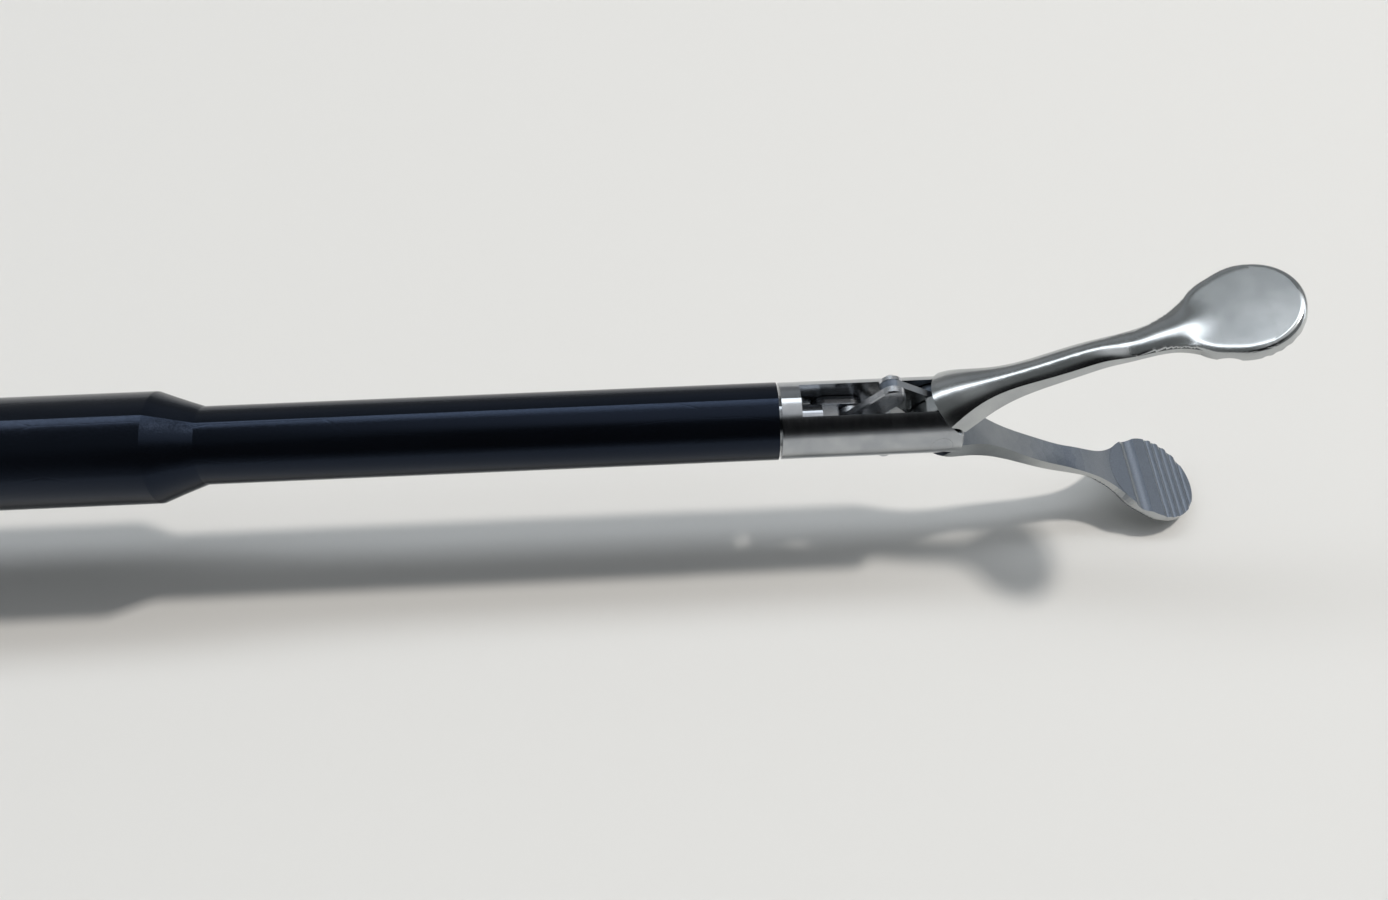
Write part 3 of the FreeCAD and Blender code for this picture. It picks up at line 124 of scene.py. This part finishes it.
def blackInsulation():
    look = insulation
    material, tree = startMaterial("shrunkInsulation")
    place = addNode(tree, "ShaderNodeTexCoord")
    grain = addNode(tree, "ShaderNodeTexNoise", {
        "Vector": place.outputs["Object"], "Scale": perMetre(look["grain"]), "Detail": 2.0})
    cloud = addNode(tree, "ShaderNodeTexNoise", {
        "Vector": place.outputs["Object"], "Scale": perMetre(look["cloud"]), "Detail": 3.0})
    stretch = addNode(tree, "ShaderNodeMapping", {
        "Vector": place.outputs["Object"],
        "Scale": (perMetre(look["scratchLength"]), perMetre(look["scratch"]), perMetre(look["scratch"])),
        "Rotation": (0.0, 0.0, look["scratchTurn"])})
    hairs = addNode(tree, "ShaderNodeTexVoronoi", {
        "Vector": stretch.outputs[0], "Scale": 1.0, "Randomness": 1.0}, feature="DISTANCE_TO_EDGE")
    hair = addNode(tree, "ShaderNodeMapRange", {
        "Value": hairs.outputs["Distance"], "From Min": 0.0, "From Max": look["scratchWidth"],
        "To Min": 1.0, "To Max": 0.0})
    tone = addNode(tree, "ShaderNodeMix", {
        "Factor": cloud.outputs["Fac"], "A": toLinear(look["black"]), "B": toLinear(look["haze"])},
        data_type="RGBA")
    rough = addNode(tree, "ShaderNodeMapRange", {
        "Value": grain.outputs["Fac"], **noiseRange,
        "To Min": look["roughness"] - look["smoother"], "To Max": look["roughness"] + look["rougher"]})
    grainBump = addNode(tree, "ShaderNodeBump", {
        "Height": grain.outputs["Fac"], "Strength": look["grainStrength"],
        "Distance": look["grainDepth"] * mm})
    hairBump = addNode(tree, "ShaderNodeBump", {
        "Height": hair.outputs[0], "Strength": look["scratchStrength"],
        "Distance": look["scratchDepth"] * mm, "Normal": grainBump.outputs[0]}, invert=True)
    surface = addNode(tree, "ShaderNodeBsdfPrincipled", {
        "Base Color": tone.outputs["Result"], "Roughness": rough.outputs[0], "IOR": look["ior"],
        "Specular IOR Level": look["gloss"], "Specular Tint": toLinear(look["bloom"]),
        "Normal": hairBump.outputs[0]})
    return endMaterial(material, surface)


# Stainless steel in its several finishes: turned, belt polished and drawn. "lines" gives the size of
# their marks along X, Y and Z. The tone wanders a little, and nicks break the gloss.
steels = {
    "turnedSteel": {
        "tone": "#c6c8ca", "shade": "#8f949a", "roughness": 0.19,
        "lines": (0.07, 1.6, 1.6), "depth": 0.0008,
        "pieces": ["yoke", "pivot_pin", "port_collar", "shaft_hub"]},
    "polishedSteel": {
        "tone": "#d3d5d8", "shade": "#adb1b8", "roughness": 0.22,
        "lines": (0.5, 0.5, 0.5), "depth": 0.002,
        "pieces": ["upper_link", "lower_link", "upper_tail_pin", "lower_tail_pin", "rod_pin", "flush_port",
                   "knob_screw", "lever_screw", "lever_nut", "release_pin", "ratchet_screw_lower",
                   "ratchet_screw_upper"]},
    "drawnSteel": {
        "tone": "#b9bdc3", "shade": "#868c95", "roughness": 0.24,
        "lines": (3.0, 0.07, 0.07), "depth": 0.002,
        "pieces": ["drive_rod", "rod_clevis", "shaft_tube", "ratchet_bar", "release_lever"]},
}
steelWear = {
    "cloud": 2.2,
    "smoother": 0.03,
    "rougher": 0.05,
    "lineStrength": 0.5,
    "nick": 0.9,
    "nickEdge": (0.05, 0.14),  # shares of the space between nicks
    "nickStrength": 0.15,
    "nickDepth": 0.004,
}


def steel(name):
    look = steels[name]
    material, tree = startMaterial(name)
    place = addNode(tree, "ShaderNodeTexCoord")
    stretch = addNode(tree, "ShaderNodeMapping", {
        "Vector": place.outputs["Object"], "Scale": [perMetre(size) for size in look["lines"]]})
    lines = addNode(tree, "ShaderNodeTexNoise", {"Vector": stretch.outputs[0], "Scale": 1.0, "Detail": 3.0})
    cloud = addNode(tree, "ShaderNodeTexNoise", {
        "Vector": place.outputs["Object"], "Scale": perMetre(steelWear["cloud"]), "Detail": 4.0})
    nicks = addNode(tree, "ShaderNodeTexVoronoi", {
        "Vector": place.outputs["Object"], "Scale": perMetre(steelWear["nick"]), "Randomness": 1.0})
    deepest, level = steelWear["nickEdge"]
    nick = addNode(tree, "ShaderNodeMapRange", {
        "Value": nicks.outputs["Distance"], "From Min": deepest, "From Max": level,
        "To Min": 1.0, "To Max": 0.0})
    tone = addNode(tree, "ShaderNodeMix", {
        "Factor": cloud.outputs["Fac"], "A": toLinear(look["tone"]), "B": toLinear(look["shade"])},
        data_type="RGBA")
    rough = addNode(tree, "ShaderNodeMapRange", {
        "Value": lines.outputs["Fac"], **noiseRange,
        "To Min": look["roughness"] - steelWear["smoother"],
        "To Max": look["roughness"] + steelWear["rougher"]})
    lineBump = addNode(tree, "ShaderNodeBump", {
        "Height": lines.outputs["Fac"], "Strength": steelWear["lineStrength"],
        "Distance": look["depth"] * mm})
    nickBump = addNode(tree, "ShaderNodeBump", {
        "Height": nick.outputs[0], "Strength": steelWear["nickStrength"],
        "Distance": steelWear["nickDepth"] * mm, "Normal": lineBump.outputs[0]}, invert=True)
    surface = addNode(tree, "ShaderNodeBsdfPrincipled", {
        "Base Color": tone.outputs["Result"], "Metallic": 1.0, "Roughness": rough.outputs[0],
        "Normal": nickBump.outputs[0]})
    return endMaterial(material, surface)


# Jaws: milled stainless steel, satin polished on the back and sides, and glass-bead blasted on
# the inner face, which stays a dull sparkling grey
jaws = {
    "polished": "#c8caca",
    "polishedShade": "#9fa3a5",
    "polishedRoughness": 0.21,
    "polishedSpread": 0.015,
    "cloud": 2.6,
    "strokes": (2.4, 0.09, 0.09),
    "strokeStrength": 0.3,
    "strokeDepth": 0.0016,
    "blasted": "#747c87",
    "blastedShade": "#4c545f",
    "blastedRoughness": 0.54,
    "bead": 0.12,  # real bead marks are finer, and are drawn this coarse so that they show
    "beadStrength": 0.8,
    "beadDepth": 0.03,
    "innerEdge": (0.35, 0.65),  # how squarely it faces the other jaw: satin below, blasted above
    "openAngle": 27.0,  # degrees
}


def jawSteel(name, side):
    look = jaws
    material, tree = startMaterial(name)
    place = addNode(tree, "ShaderNodeTexCoord")
    shape = addNode(tree, "ShaderNodeNewGeometry")
    facing = addNode(tree, "ShaderNodeVectorTransform", {"Vector": shape.outputs["True Normal"]},
                     vector_type="NORMAL", convert_from="WORLD", convert_to="OBJECT")
    # The inner face looks at the other jaw, square to this jaw's own length
    angle = math.radians(look["openAngle"])
    inward = (side * math.sin(angle), 0.0, -side * math.cos(angle))
    inner = addNode(tree, "ShaderNodeVectorMath", {
        0: facing.outputs[0], 1: inward}, operation="DOT_PRODUCT")
    bare, full = look["innerEdge"]
    mask = addNode(tree, "ShaderNodeMapRange", {
        "Value": inner.outputs["Value"], "From Min": bare, "From Max": full, "To Min": 0.0, "To Max": 1.0})
    cloud = addNode(tree, "ShaderNodeTexNoise", {
        "Vector": place.outputs["Object"], "Scale": perMetre(look["cloud"]), "Detail": 4.0})
    bead = addNode(tree, "ShaderNodeTexNoise", {
        "Vector": place.outputs["Object"], "Scale": perMetre(look["bead"]), "Detail": 2.0})
    strokes = addNode(tree, "ShaderNodeMapping", {
        "Vector": place.outputs["Object"], "Rotation": (0.0, side * angle, 0.0),
        "Scale": [perMetre(size) for size in look["strokes"]]})
    stroke = addNode(tree, "ShaderNodeTexNoise", {
        "Vector": strokes.outputs[0], "Scale": 1.0, "Detail": 3.0})
    back = addNode(tree, "ShaderNodeMix", {
        "Factor": cloud.outputs["Fac"], "A": toLinear(look["polished"]),
        "B": toLinear(look["polishedShade"])}, data_type="RGBA")
    front = addNode(tree, "ShaderNodeMix", {
        "Factor": bead.outputs["Fac"], "A": toLinear(look["blasted"]),
        "B": toLinear(look["blastedShade"])}, data_type="RGBA")
    tone = addNode(tree, "ShaderNodeMix", {
        "Factor": mask.outputs[0], "A": back.outputs["Result"], "B": front.outputs["Result"]},
        data_type="RGBA")
    backRough = addNode(tree, "ShaderNodeMapRange", {
        "Value": stroke.outputs["Fac"], **noiseRange,
        "To Min": look["polishedRoughness"] - look["polishedSpread"],
        "To Max": look["polishedRoughness"] + look["polishedSpread"]})
    rough = addNode(tree, "ShaderNodeMix", {
        "Factor": mask.outputs[0], "A": backRough.outputs[0], "B": look["blastedRoughness"]},
        data_type="FLOAT")
    strokeBump = addNode(tree, "ShaderNodeBump", {
        "Height": stroke.outputs["Fac"], "Strength": look["strokeStrength"],
        "Distance": look["strokeDepth"] * mm})
    beadStrength = addNode(tree, "ShaderNodeMath", {
        0: mask.outputs[0], 1: look["beadStrength"]}, operation="MULTIPLY")
    beadBump = addNode(tree, "ShaderNodeBump", {
        "Height": bead.outputs["Fac"], "Strength": beadStrength.outputs[0],
        "Distance": look["beadDepth"] * mm, "Normal": strokeBump.outputs[0]})
    surface = addNode(tree, "ShaderNodeBsdfPrincipled", {
        "Base Color": tone.outputs["Result"], "Metallic": 1.0, "Roughness": rough.outputs[0],
        "Normal": beadBump.outputs[0]})
    return endMaterial(material, surface)


# Moulded plastics and rubber: a spark-eroded mould leaves a fine even grain
plastics = {
    "mouldedPolyamide": {
        "tone": "#17181b", "roughness": 0.48, "grain": 0.35, "depth": 0.03, "ior": 1.53,
        "pieces": ["fixed_handle", "thumb_lever"]},
    "mouldedKnob": {
        "tone": "#2b2e32", "roughness": 0.42, "grain": 0.30, "depth": 0.02, "ior": 1.53,
        "pieces": ["rotation_knob"]},
    "mouldedButton": {
        "tone": "#8d1f1c", "roughness": 0.36, "grain": 0.30, "depth": 0.01, "ior": 1.53,
        "pieces": ["lock_button"]},
    "siliconeRubber": {
        "tone": "#1b1b1c", "roughness": 0.62, "grain": 0.20, "depth": 0.01, "ior": 1.41,
        "pieces": ["rod_seal", "front_o_ring", "rear_o_ring"]},
    "turnedPeek": {
        "tone": "#b59f7f", "roughness": 0.45, "grain": 0.25, "depth": 0.01, "ior": 1.65,
        "pieces": ["guide_bush"]},
}
plasticWear = {"cloud": 11.0, "shade": 0.82, "smoother": 0.06, "rougher": 0.08, "grainStrength": 0.5}


def plastic(name):
    look = plastics[name]
    material, tree = startMaterial(name)
    place = addNode(tree, "ShaderNodeTexCoord")
    grain = addNode(tree, "ShaderNodeTexNoise", {
        "Vector": place.outputs["Object"], "Scale": perMetre(look["grain"]), "Detail": 2.0})
    cloud = addNode(tree, "ShaderNodeTexNoise", {
        "Vector": place.outputs["Object"], "Scale": perMetre(plasticWear["cloud"]), "Detail": 3.0})
    shade = [plasticWear["shade"] * value for value in toLinear(look["tone"])[:3]] + [1.0]
    tone = addNode(tree, "ShaderNodeMix", {
        "Factor": cloud.outputs["Fac"], "A": toLinear(look["tone"]), "B": shade}, data_type="RGBA")
    rough = addNode(tree, "ShaderNodeMapRange", {
        "Value": grain.outputs["Fac"], **noiseRange,
        "To Min": look["roughness"] - plasticWear["smoother"],
        "To Max": look["roughness"] + plasticWear["rougher"]})
    bump = addNode(tree, "ShaderNodeBump", {
        "Height": grain.outputs["Fac"], "Strength": plasticWear["grainStrength"],
        "Distance": look["depth"] * mm})
    surface = addNode(tree, "ShaderNodeBsdfPrincipled", {
        "Base Color": tone.outputs["Result"], "Roughness": rough.outputs[0], "IOR": look["ior"],
        "Normal": bump.outputs[0]})
    return endMaterial(material, surface)


# Brass under hard gold plate: warm, with turning lines round the pin
gold = {"bright": "#dcb867", "deep": "#c79d4c", "lines": 0.4, "smoothest": 0.16, "roughest": 0.30}


def goldPlate():
    material, tree = startMaterial("goldPlate")
    place = addNode(tree, "ShaderNodeTexCoord")
    lines = addNode(tree, "ShaderNodeTexNoise", {
        "Vector": place.outputs["Object"], "Scale": perMetre(gold["lines"]), "Detail": 3.0})
    rough = addNode(tree, "ShaderNodeMapRange", {
        "Value": lines.outputs["Fac"], **noiseRange,
        "To Min": gold["smoothest"], "To Max": gold["roughest"]})
    tone = addNode(tree, "ShaderNodeMix", {
        "Factor": lines.outputs["Fac"], "A": toLinear(gold["bright"]), "B": toLinear(gold["deep"])},
        data_type="RGBA")
    surface = addNode(tree, "ShaderNodeBsdfPrincipled", {
        "Base Color": tone.outputs["Result"], "Metallic": 1.0, "Roughness": rough.outputs[0]})
    return endMaterial(material, surface)


# Where the arm runs out on the back of the paddle, the real jaw is ground to one flowing hollow.
# A wheel rolled over the solid's back finds that hollow, and a thin closed skin fills it. It fades
# out before the narrow arm, before the middle of the paddle and towards the outline.
heel = {
    "reach": 15.2,  # from the tip of the jaw
    "halfWidth": 4.6,
    "step": 0.12,
    "wheel": 22.0,  # its radius
    "wheelReach": 9.0,
    "steepest": 0.8,  # most rise for each millimetre from the outline
    "blurs": 16,
    "lastBlurs": 8,
    "cover": 0.035,  # raised by this much, so that it hides the solid's own edges
    "fades": (14.4, 11.0, 4.8, 2.6),  # from the tip: starts, full, still full, gone
    "seat": 0.006,  # sunk by this much, so that its rim dips under the surface
    "thick": 0.25,
}


# Highest point of the jaw's back over a grid along and across the jaw; far below where it has none
def backHeights(tree, top, alongs, acrosses, far):
    heights = np.full((len(alongs), len(acrosses)), far)
    for i, along in enumerate(alongs):
        for j, across in enumerate(acrosses):
            hit = tree.ray_cast((along, across, top + 1), (0, 0, -1))[0]
            if hit is not None:
                heights[i, j] = hit.z - top
    return heights


# The lowest surface over the heights that a wheel of this radius can touch everywhere: the wheel's
# rim is taken as a parabola, so that each axis is rolled by itself
def rollWheel(heights, radius, reach, step):
    cells = round(reach / step)
    field = np.pad(heights, cells, constant_values=-reach)
    for sign, keep in ((-1, np.maximum), (1, np.minimum)):
        for axis in (0, 1):
            before = field
            for move in range(-cells, cells + 1):
                drop = (move * step) ** 2 / (2 * radius)
                field = keep(field, np.roll(before, move, axis) + sign * drop)
    return field[cells:-cells, cells:-cells]


# Distance from each cell to the nearest cell outside the mask, counted in rings
def edgeDistance(mask, step):
    distance = np.zeros(mask.shape)
    left = mask.copy()
    while left.any():
        distance[left] += step
        shifted = [np.roll(left, move, axis) for move in (1, -1) for axis in (0, 1)]
        left = np.logical_and.reduce([left] + shifted)
    return distance


def blurred(field, times):
    for _ in range(times):
        field = sum(np.roll(field, move, axis) for move in (1, -1) for axis in (0, 1)) / 8 + field / 2
    return field


# Blurs the heights inside the mask only. The 0.01 keeps cells far outside it finite
def blurredInside(heights, mask, times):
    weight = mask.astype(float)
    return blurred(np.where(mask, heights, 0.0), times) / np.maximum(blurred(weight, times), 0.01)


# Height of the jaw's back over the grid, where it has one, and how far the skin rises above it
def heelRise(tree, tip, top, alongs, acrosses):
    look = heel
    far = -look["wheelReach"]
    heights = backHeights(tree, top, alongs, acrosses, far)
    mask = heights > far
    rolled = rollWheel(heights, look["wheel"], look["wheelReach"], look["step"])
    room = edgeDistance(mask, look["step"]) * look["steepest"]
    level = blurredInside(np.minimum(rolled, heights + room), mask, look["blurs"])
    level = blurredInside(np.maximum(level, heights), mask, look["lastBlurs"]) + look["cover"]
    fade = np.interp(tip - alongs, look["fades"][::-1], (0.0, 1.0, 1.0, 0.0))[:, None]
    fade = fade * fade * (3 - 2 * fade)
    return heights, mask, np.clip(level - heights, 0.0, room) * fade * mask


# Grid cells that the skin covers, each as its ring of corners
def heelCells(mask, rise):
    covered = rise > heel["seat"]
    return [((i, j), (i + 1, j), (i + 1, j + 1), (i, j + 1))
            for i in range(1, mask.shape[0] - 1) for j in range(1, mask.shape[1] - 1)
            if mask[i:i + 2, j:j + 2].all() and covered[i:i + 2, j:j + 2].any()]


# Faces above, faces below and a wall along each open edge. The vertex under number v is v + 1
def closedSkin(rings):
    faces = []
    edges = {}
    for ring in rings:
        faces.append(ring)
        faces.append([v + 1 for v in reversed(ring)])
        for k in range(4):
            a, b = ring[k], ring[(k + 1) % 4]
            if (b, a) in edges:
                del edges[(b, a)]
            else:
                edges[(a, b)] = True
    return faces + [(b, a, a + 1, b + 1) for a, b in edges]


def heelSkin(nodeName, body, side, material):
    look = heel
    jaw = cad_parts[nodeName]
    angle = math.radians(jaws["openAngle"])
    along = Vector((math.cos(angle), 0, side * math.sin(angle)))
    outward = Vector((-math.sin(angle), 0, side * math.cos(angle)))
    across = outward.cross(along)
    toJaw = Matrix((along, across, outward)) @ jaw.matrix_world.to_3x3() * (1 / mm)
    offset = Matrix((along, across, outward)) @ jaw.matrix_world.translation * (1 / mm)
    points = [toJaw @ vertex.co + offset for vertex in jaw.data.vertices]
    tree = BVHTree.FromPolygons(points, [tuple(face.vertices) for face in jaw.data.polygons])
    tip = max(point.x for point in points)
    top = max(point.z for point in points)
    alongs = np.arange(tip - look["reach"], tip, look["step"])
    acrosses = np.arange(-look["halfWidth"], look["halfWidth"], look["step"])
    heights, mask, rise = heelRise(tree, tip, top, alongs, acrosses)
    cells = heelCells(mask, rise)
    # A vertex pair for each used grid point: the skin above, and its seat inside the solid
    index = {}
    vertices = []
    toNode = toJaw.inverted()
    for cell in cells:
        for corner in cell:
            if corner not in index:
                index[corner] = len(vertices)
                for above in (rise[corner] - look["seat"], -look["thick"]):
                    spot = Vector((alongs[corner[0]], acrosses[corner[1]], top + heights[corner] + above))
                    vertices.append(toNode @ (spot - offset))
    mesh = bpy.data.meshes.new(nodeName + "Heel")
    mesh.from_pydata(vertices, [], closedSkin([[index[corner] for corner in cell] for cell in cells]))
    mesh.polygons.foreach_set("use_smooth", [True] * len(mesh.polygons))
    mesh.materials.append(material)
    skin = bpy.data.objects.new(nodeName + "Heel", mesh)
    skin.matrix_world = jaw.matrix_world.copy()
    bpy.context.scene.collection.objects.link(skin)
    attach(skin, body)
    print("grasper:", skin.name, len(cells), "cells, rise", round(float(rise.max()), 3), "mm", flush=True)


dress(["insulation_sleeve"], blackInsulation())
for name in steels:
    dress(steels[name]["pieces"], steel(name))
for nodeName, body, side in (("upper_jaw", "upper_jaw_body", 1), ("lower_jaw", "lower_jaw_body", -1)):
    material = jawSteel(nodeName + "Steel", side)
    dress([nodeName], material)
    heelSkin(nodeName, body, side, material)
for name in plastics:
    dress(plastics[name]["pieces"], plastic(name))
dress(["contact_pin"], goldPlate())
print("grasper: materials on")


# Stage: a pale table in a pale room. A long diffuser over the shaft draws the line of light along
# the round pieces, and a dark wall on the viewer's side gives the steel its dark band.
stage = {
    "table": "#e2e2e0",
    "tableRoughness": 0.85,
    "tableSize": 4000.0,
    "horizon": "#c8c9ca",
    "zenith": "#8f9393",
    "zenithHeight": 0.75,  # where 1 is straight up
    "wall": "#17181a",
    "wallFrom": (0.0, -0.80, 0.60),
    "wallEdge": (0.80, 0.93),  # how squarely it is faced where it starts and where it is full
    "ceiling": (1.3, 1.32, 1.35),
    "ceilingFrom": (0.20, 0.05, 0.98),
    "ceilingEdge": (0.84, 0.97),
    "diffuserAcross": (0.0, 0.899, -0.438),
    "diffuserEdge": (0.13, 0.04),  # how far off its middle it starts and is full
    "diffuserLevel": (8.0, 8.4, 8.8),
    "diffuserEnds": (0.25, -0.15),  # towards the jaw end, and back from it
    "diffuserShares": (0.65, 1.0),  # of its light at those two ends
    "worldStrength": 0.52,
}


def buildTable():
    floorHeight = cadBounds[0][2]
    half = stage["tableSize"] * mm / 2
    corners = [(x, y, floorHeight) for x, y in ((-half, -half), (half, -half), (half, half), (-half, half))]
    mesh = bpy.data.meshes.new("table")
    mesh.from_pydata(corners, [], [(0, 1, 2, 3)])
    table = bpy.data.objects.new("table", mesh)
    bpy.context.scene.collection.objects.link(table)
    # Matt laminate: even and without a shine
    material, tree = startMaterial("paleTable")
    surface = addNode(tree, "ShaderNodeBsdfPrincipled", {
        "Base Color": toLinear(stage["table"]), "Roughness": stage["tableRoughness"]})
    mesh.materials.append(endMaterial(material, surface))


# A small lamp for the shadow, and a weak window behind. Power is in watts
lamps = {
    "keyLamp": {
        "aim": (335.0, 0.0, 0.0), "from": (0.52, 0.24, 1.0), "distance": 1800.0,
        "size": (145.0, 145.0), "power": 16.5, "tone": "#fff8f0"},
    "backWindow": {
        "aim": (300.0, 0.0, 0.0), "from": (0.10, 0.85, 0.55), "distance": 1600.0,
        "size": (2000.0, 600.0), "power": 0.6, "tone": "#eaf0fa"},
}


def addLamp(name):
    look = lamps[name]
    lamp = bpy.data.lights.new(name, "AREA")
    lamp.shape = "RECTANGLE"
    lamp.size, lamp.size_y = [side * mm for side in look["size"]]
    lamp.energy = look["power"]
    lamp.color = toLinear(look["tone"])[:3]
    holder = bpy.data.objects.new(name, lamp)
    away = Vector(look["from"]).normalized()
    holder.location = (Vector(look["aim"]) + away * look["distance"]) * mm
    holder.rotation_euler = away.to_track_quat("Z", "Y").to_euler()
    bpy.context.scene.collection.objects.link(holder)


def buildLight():
    world = bpy.data.worlds.new("studio")
    world.use_nodes = True
    world.node_tree.nodes.clear()
    tree = world.node_tree
    direction = addNode(tree, "ShaderNodeTexCoord").outputs["Generated"]
    parts = addNode(tree, "ShaderNodeSeparateXYZ", {"Vector": direction})
    climb = addNode(tree, "ShaderNodeMapRange", {
        "Value": parts.outputs["Z"], "From Min": 0.0, "From Max": stage["zenithHeight"],
        "To Min": 0.0, "To Max": 1.0})
    room = addNode(tree, "ShaderNodeMix", {
        "Factor": climb.outputs[0], "A": toLinear(stage["horizon"]), "B": toLinear(stage["zenith"])},
        data_type="RGBA")
    shown = {}
    for name in ("wall", "ceiling"):
        toward = addNode(tree, "ShaderNodeVectorMath", {
            0: direction, 1: stage[name + "From"]}, operation="DOT_PRODUCT")
        start, full = stage[name + "Edge"]
        shown[name] = addNode(tree, "ShaderNodeMapRange", {
            "Value": toward.outputs["Value"], "From Min": start, "From Max": full,
            "To Min": 0.0, "To Max": 1.0}, interpolation_type="SMOOTHSTEP").outputs[0]
    upper = addNode(tree, "ShaderNodeMix", {
        "Factor": shown["ceiling"], "A": room.outputs["Result"], "B": (*stage["ceiling"], 1.0)},
        data_type="RGBA")
    backdrop = addNode(tree, "ShaderNodeMix", {
        "Factor": shown["wall"], "A": upper.outputs["Result"], "B": toLinear(stage["wall"])},
        data_type="RGBA")
    offBand = addNode(tree, "ShaderNodeVectorMath", {
        0: direction, 1: stage["diffuserAcross"]}, operation="DOT_PRODUCT")
    fromBand = addNode(tree, "ShaderNodeMath", {0: offBand.outputs["Value"]}, operation="ABSOLUTE")
    start, full = stage["diffuserEdge"]
    band = addNode(tree, "ShaderNodeMapRange", {
        "Value": fromBand.outputs[0], "From Min": start, "From Max": full, "To Min": 0.0, "To Max": 1.0},
        interpolation_type="SMOOTHSTEP")
    # The diffuser thins out towards the jaw end
    jawEnd, backEnd = stage["diffuserEnds"]
    thin, full = stage["diffuserShares"]
    along = addNode(tree, "ShaderNodeMapRange", {
        "Value": parts.outputs["X"], "From Min": jawEnd, "From Max": backEnd,
        "To Min": thin, "To Max": full}, interpolation_type="SMOOTHSTEP")
    glow = addNode(tree, "ShaderNodeMath", {0: band.outputs[0], 1: along.outputs[0]}, operation="MULTIPLY")
    tone = addNode(tree, "ShaderNodeMix", {
        "Factor": glow.outputs[0], "A": backdrop.outputs["Result"], "B": (*stage["diffuserLevel"], 1.0)},
        data_type="RGBA")
    sky = addNode(tree, "ShaderNodeBackground", {
        "Color": tone.outputs["Result"], "Strength": stage["worldStrength"]})
    addNode(tree, "ShaderNodeOutputWorld", {"Surface": sky.outputs[0]})
    bpy.context.scene.world = world
    for name in lamps:
        addLamp(name)


# Camera: fitted to the photo from the shaft's axis and the outlines of the jaws. The axis runs
# through axisPoint, given with its place in the picture and its distance
camera = {
    "width": 1388.0,  # pixels, like the next two and the place in the picture
    "height": 900.0,
    "focal": 1247.7,
    "sensor": 36.0,
    "clip": (1.0, 10000.0),
    "axisPoint": 314.7,
    "pixel": (766.5, 421.6),
    "depth": 112.19,
    "axisRight": 1.0,
    "axisDown": -0.0430,
    "axisAway": 0.0233,
    "elevation": 56.57,  # degrees
}


def buildCamera():
    look = camera
    lens = bpy.data.cameras.new("photoCamera")
    lens.sensor_width = look["sensor"]
    lens.lens = look["focal"] * look["sensor"] / look["width"]
    lens.clip_start, lens.clip_end = [distance * mm for distance in look["clip"]]
    # Row axes in the camera's right, down and away directions
    rowX = Vector((look["axisRight"], look["axisDown"], look["axisAway"])).normalized()
    tilt = math.radians(look["elevation"])
    up = Vector((0.0, -math.cos(tilt), -math.sin(tilt)))
    rowZ = (up - rowX * up.dot(rowX)).normalized()
    rowY = rowZ.cross(rowX)
    toCamera = Matrix((rowX, rowY, rowZ)).transposed()
    seen = Vector(((look["pixel"][0] - look["width"] / 2) / look["focal"],
                   (look["pixel"][1] - look["height"] / 2) / look["focal"], 1.0)) * look["depth"]
    fromCamera = toCamera.transposed()
    place = Vector((look["axisPoint"], 0.0, 0.0)) - fromCamera @ seen
    right = fromCamera @ Vector((1, 0, 0))
    upward = fromCamera @ Vector((0, -1, 0))
    back = fromCamera @ Vector((0, 0, -1))
    holder = bpy.data.objects.new("photoCamera", lens)
    turn = Matrix((right, upward, back)).transposed().to_4x4()
    holder.matrix_world = Matrix.Translation(place * mm) @ turn
    bpy.context.scene.collection.objects.link(holder)
    bpy.context.scene.camera = holder


buildTable()
buildLight()
buildCamera()
bpy.context.scene.view_settings.view_transform = "Standard"
print("grasper: stage and camera ready")
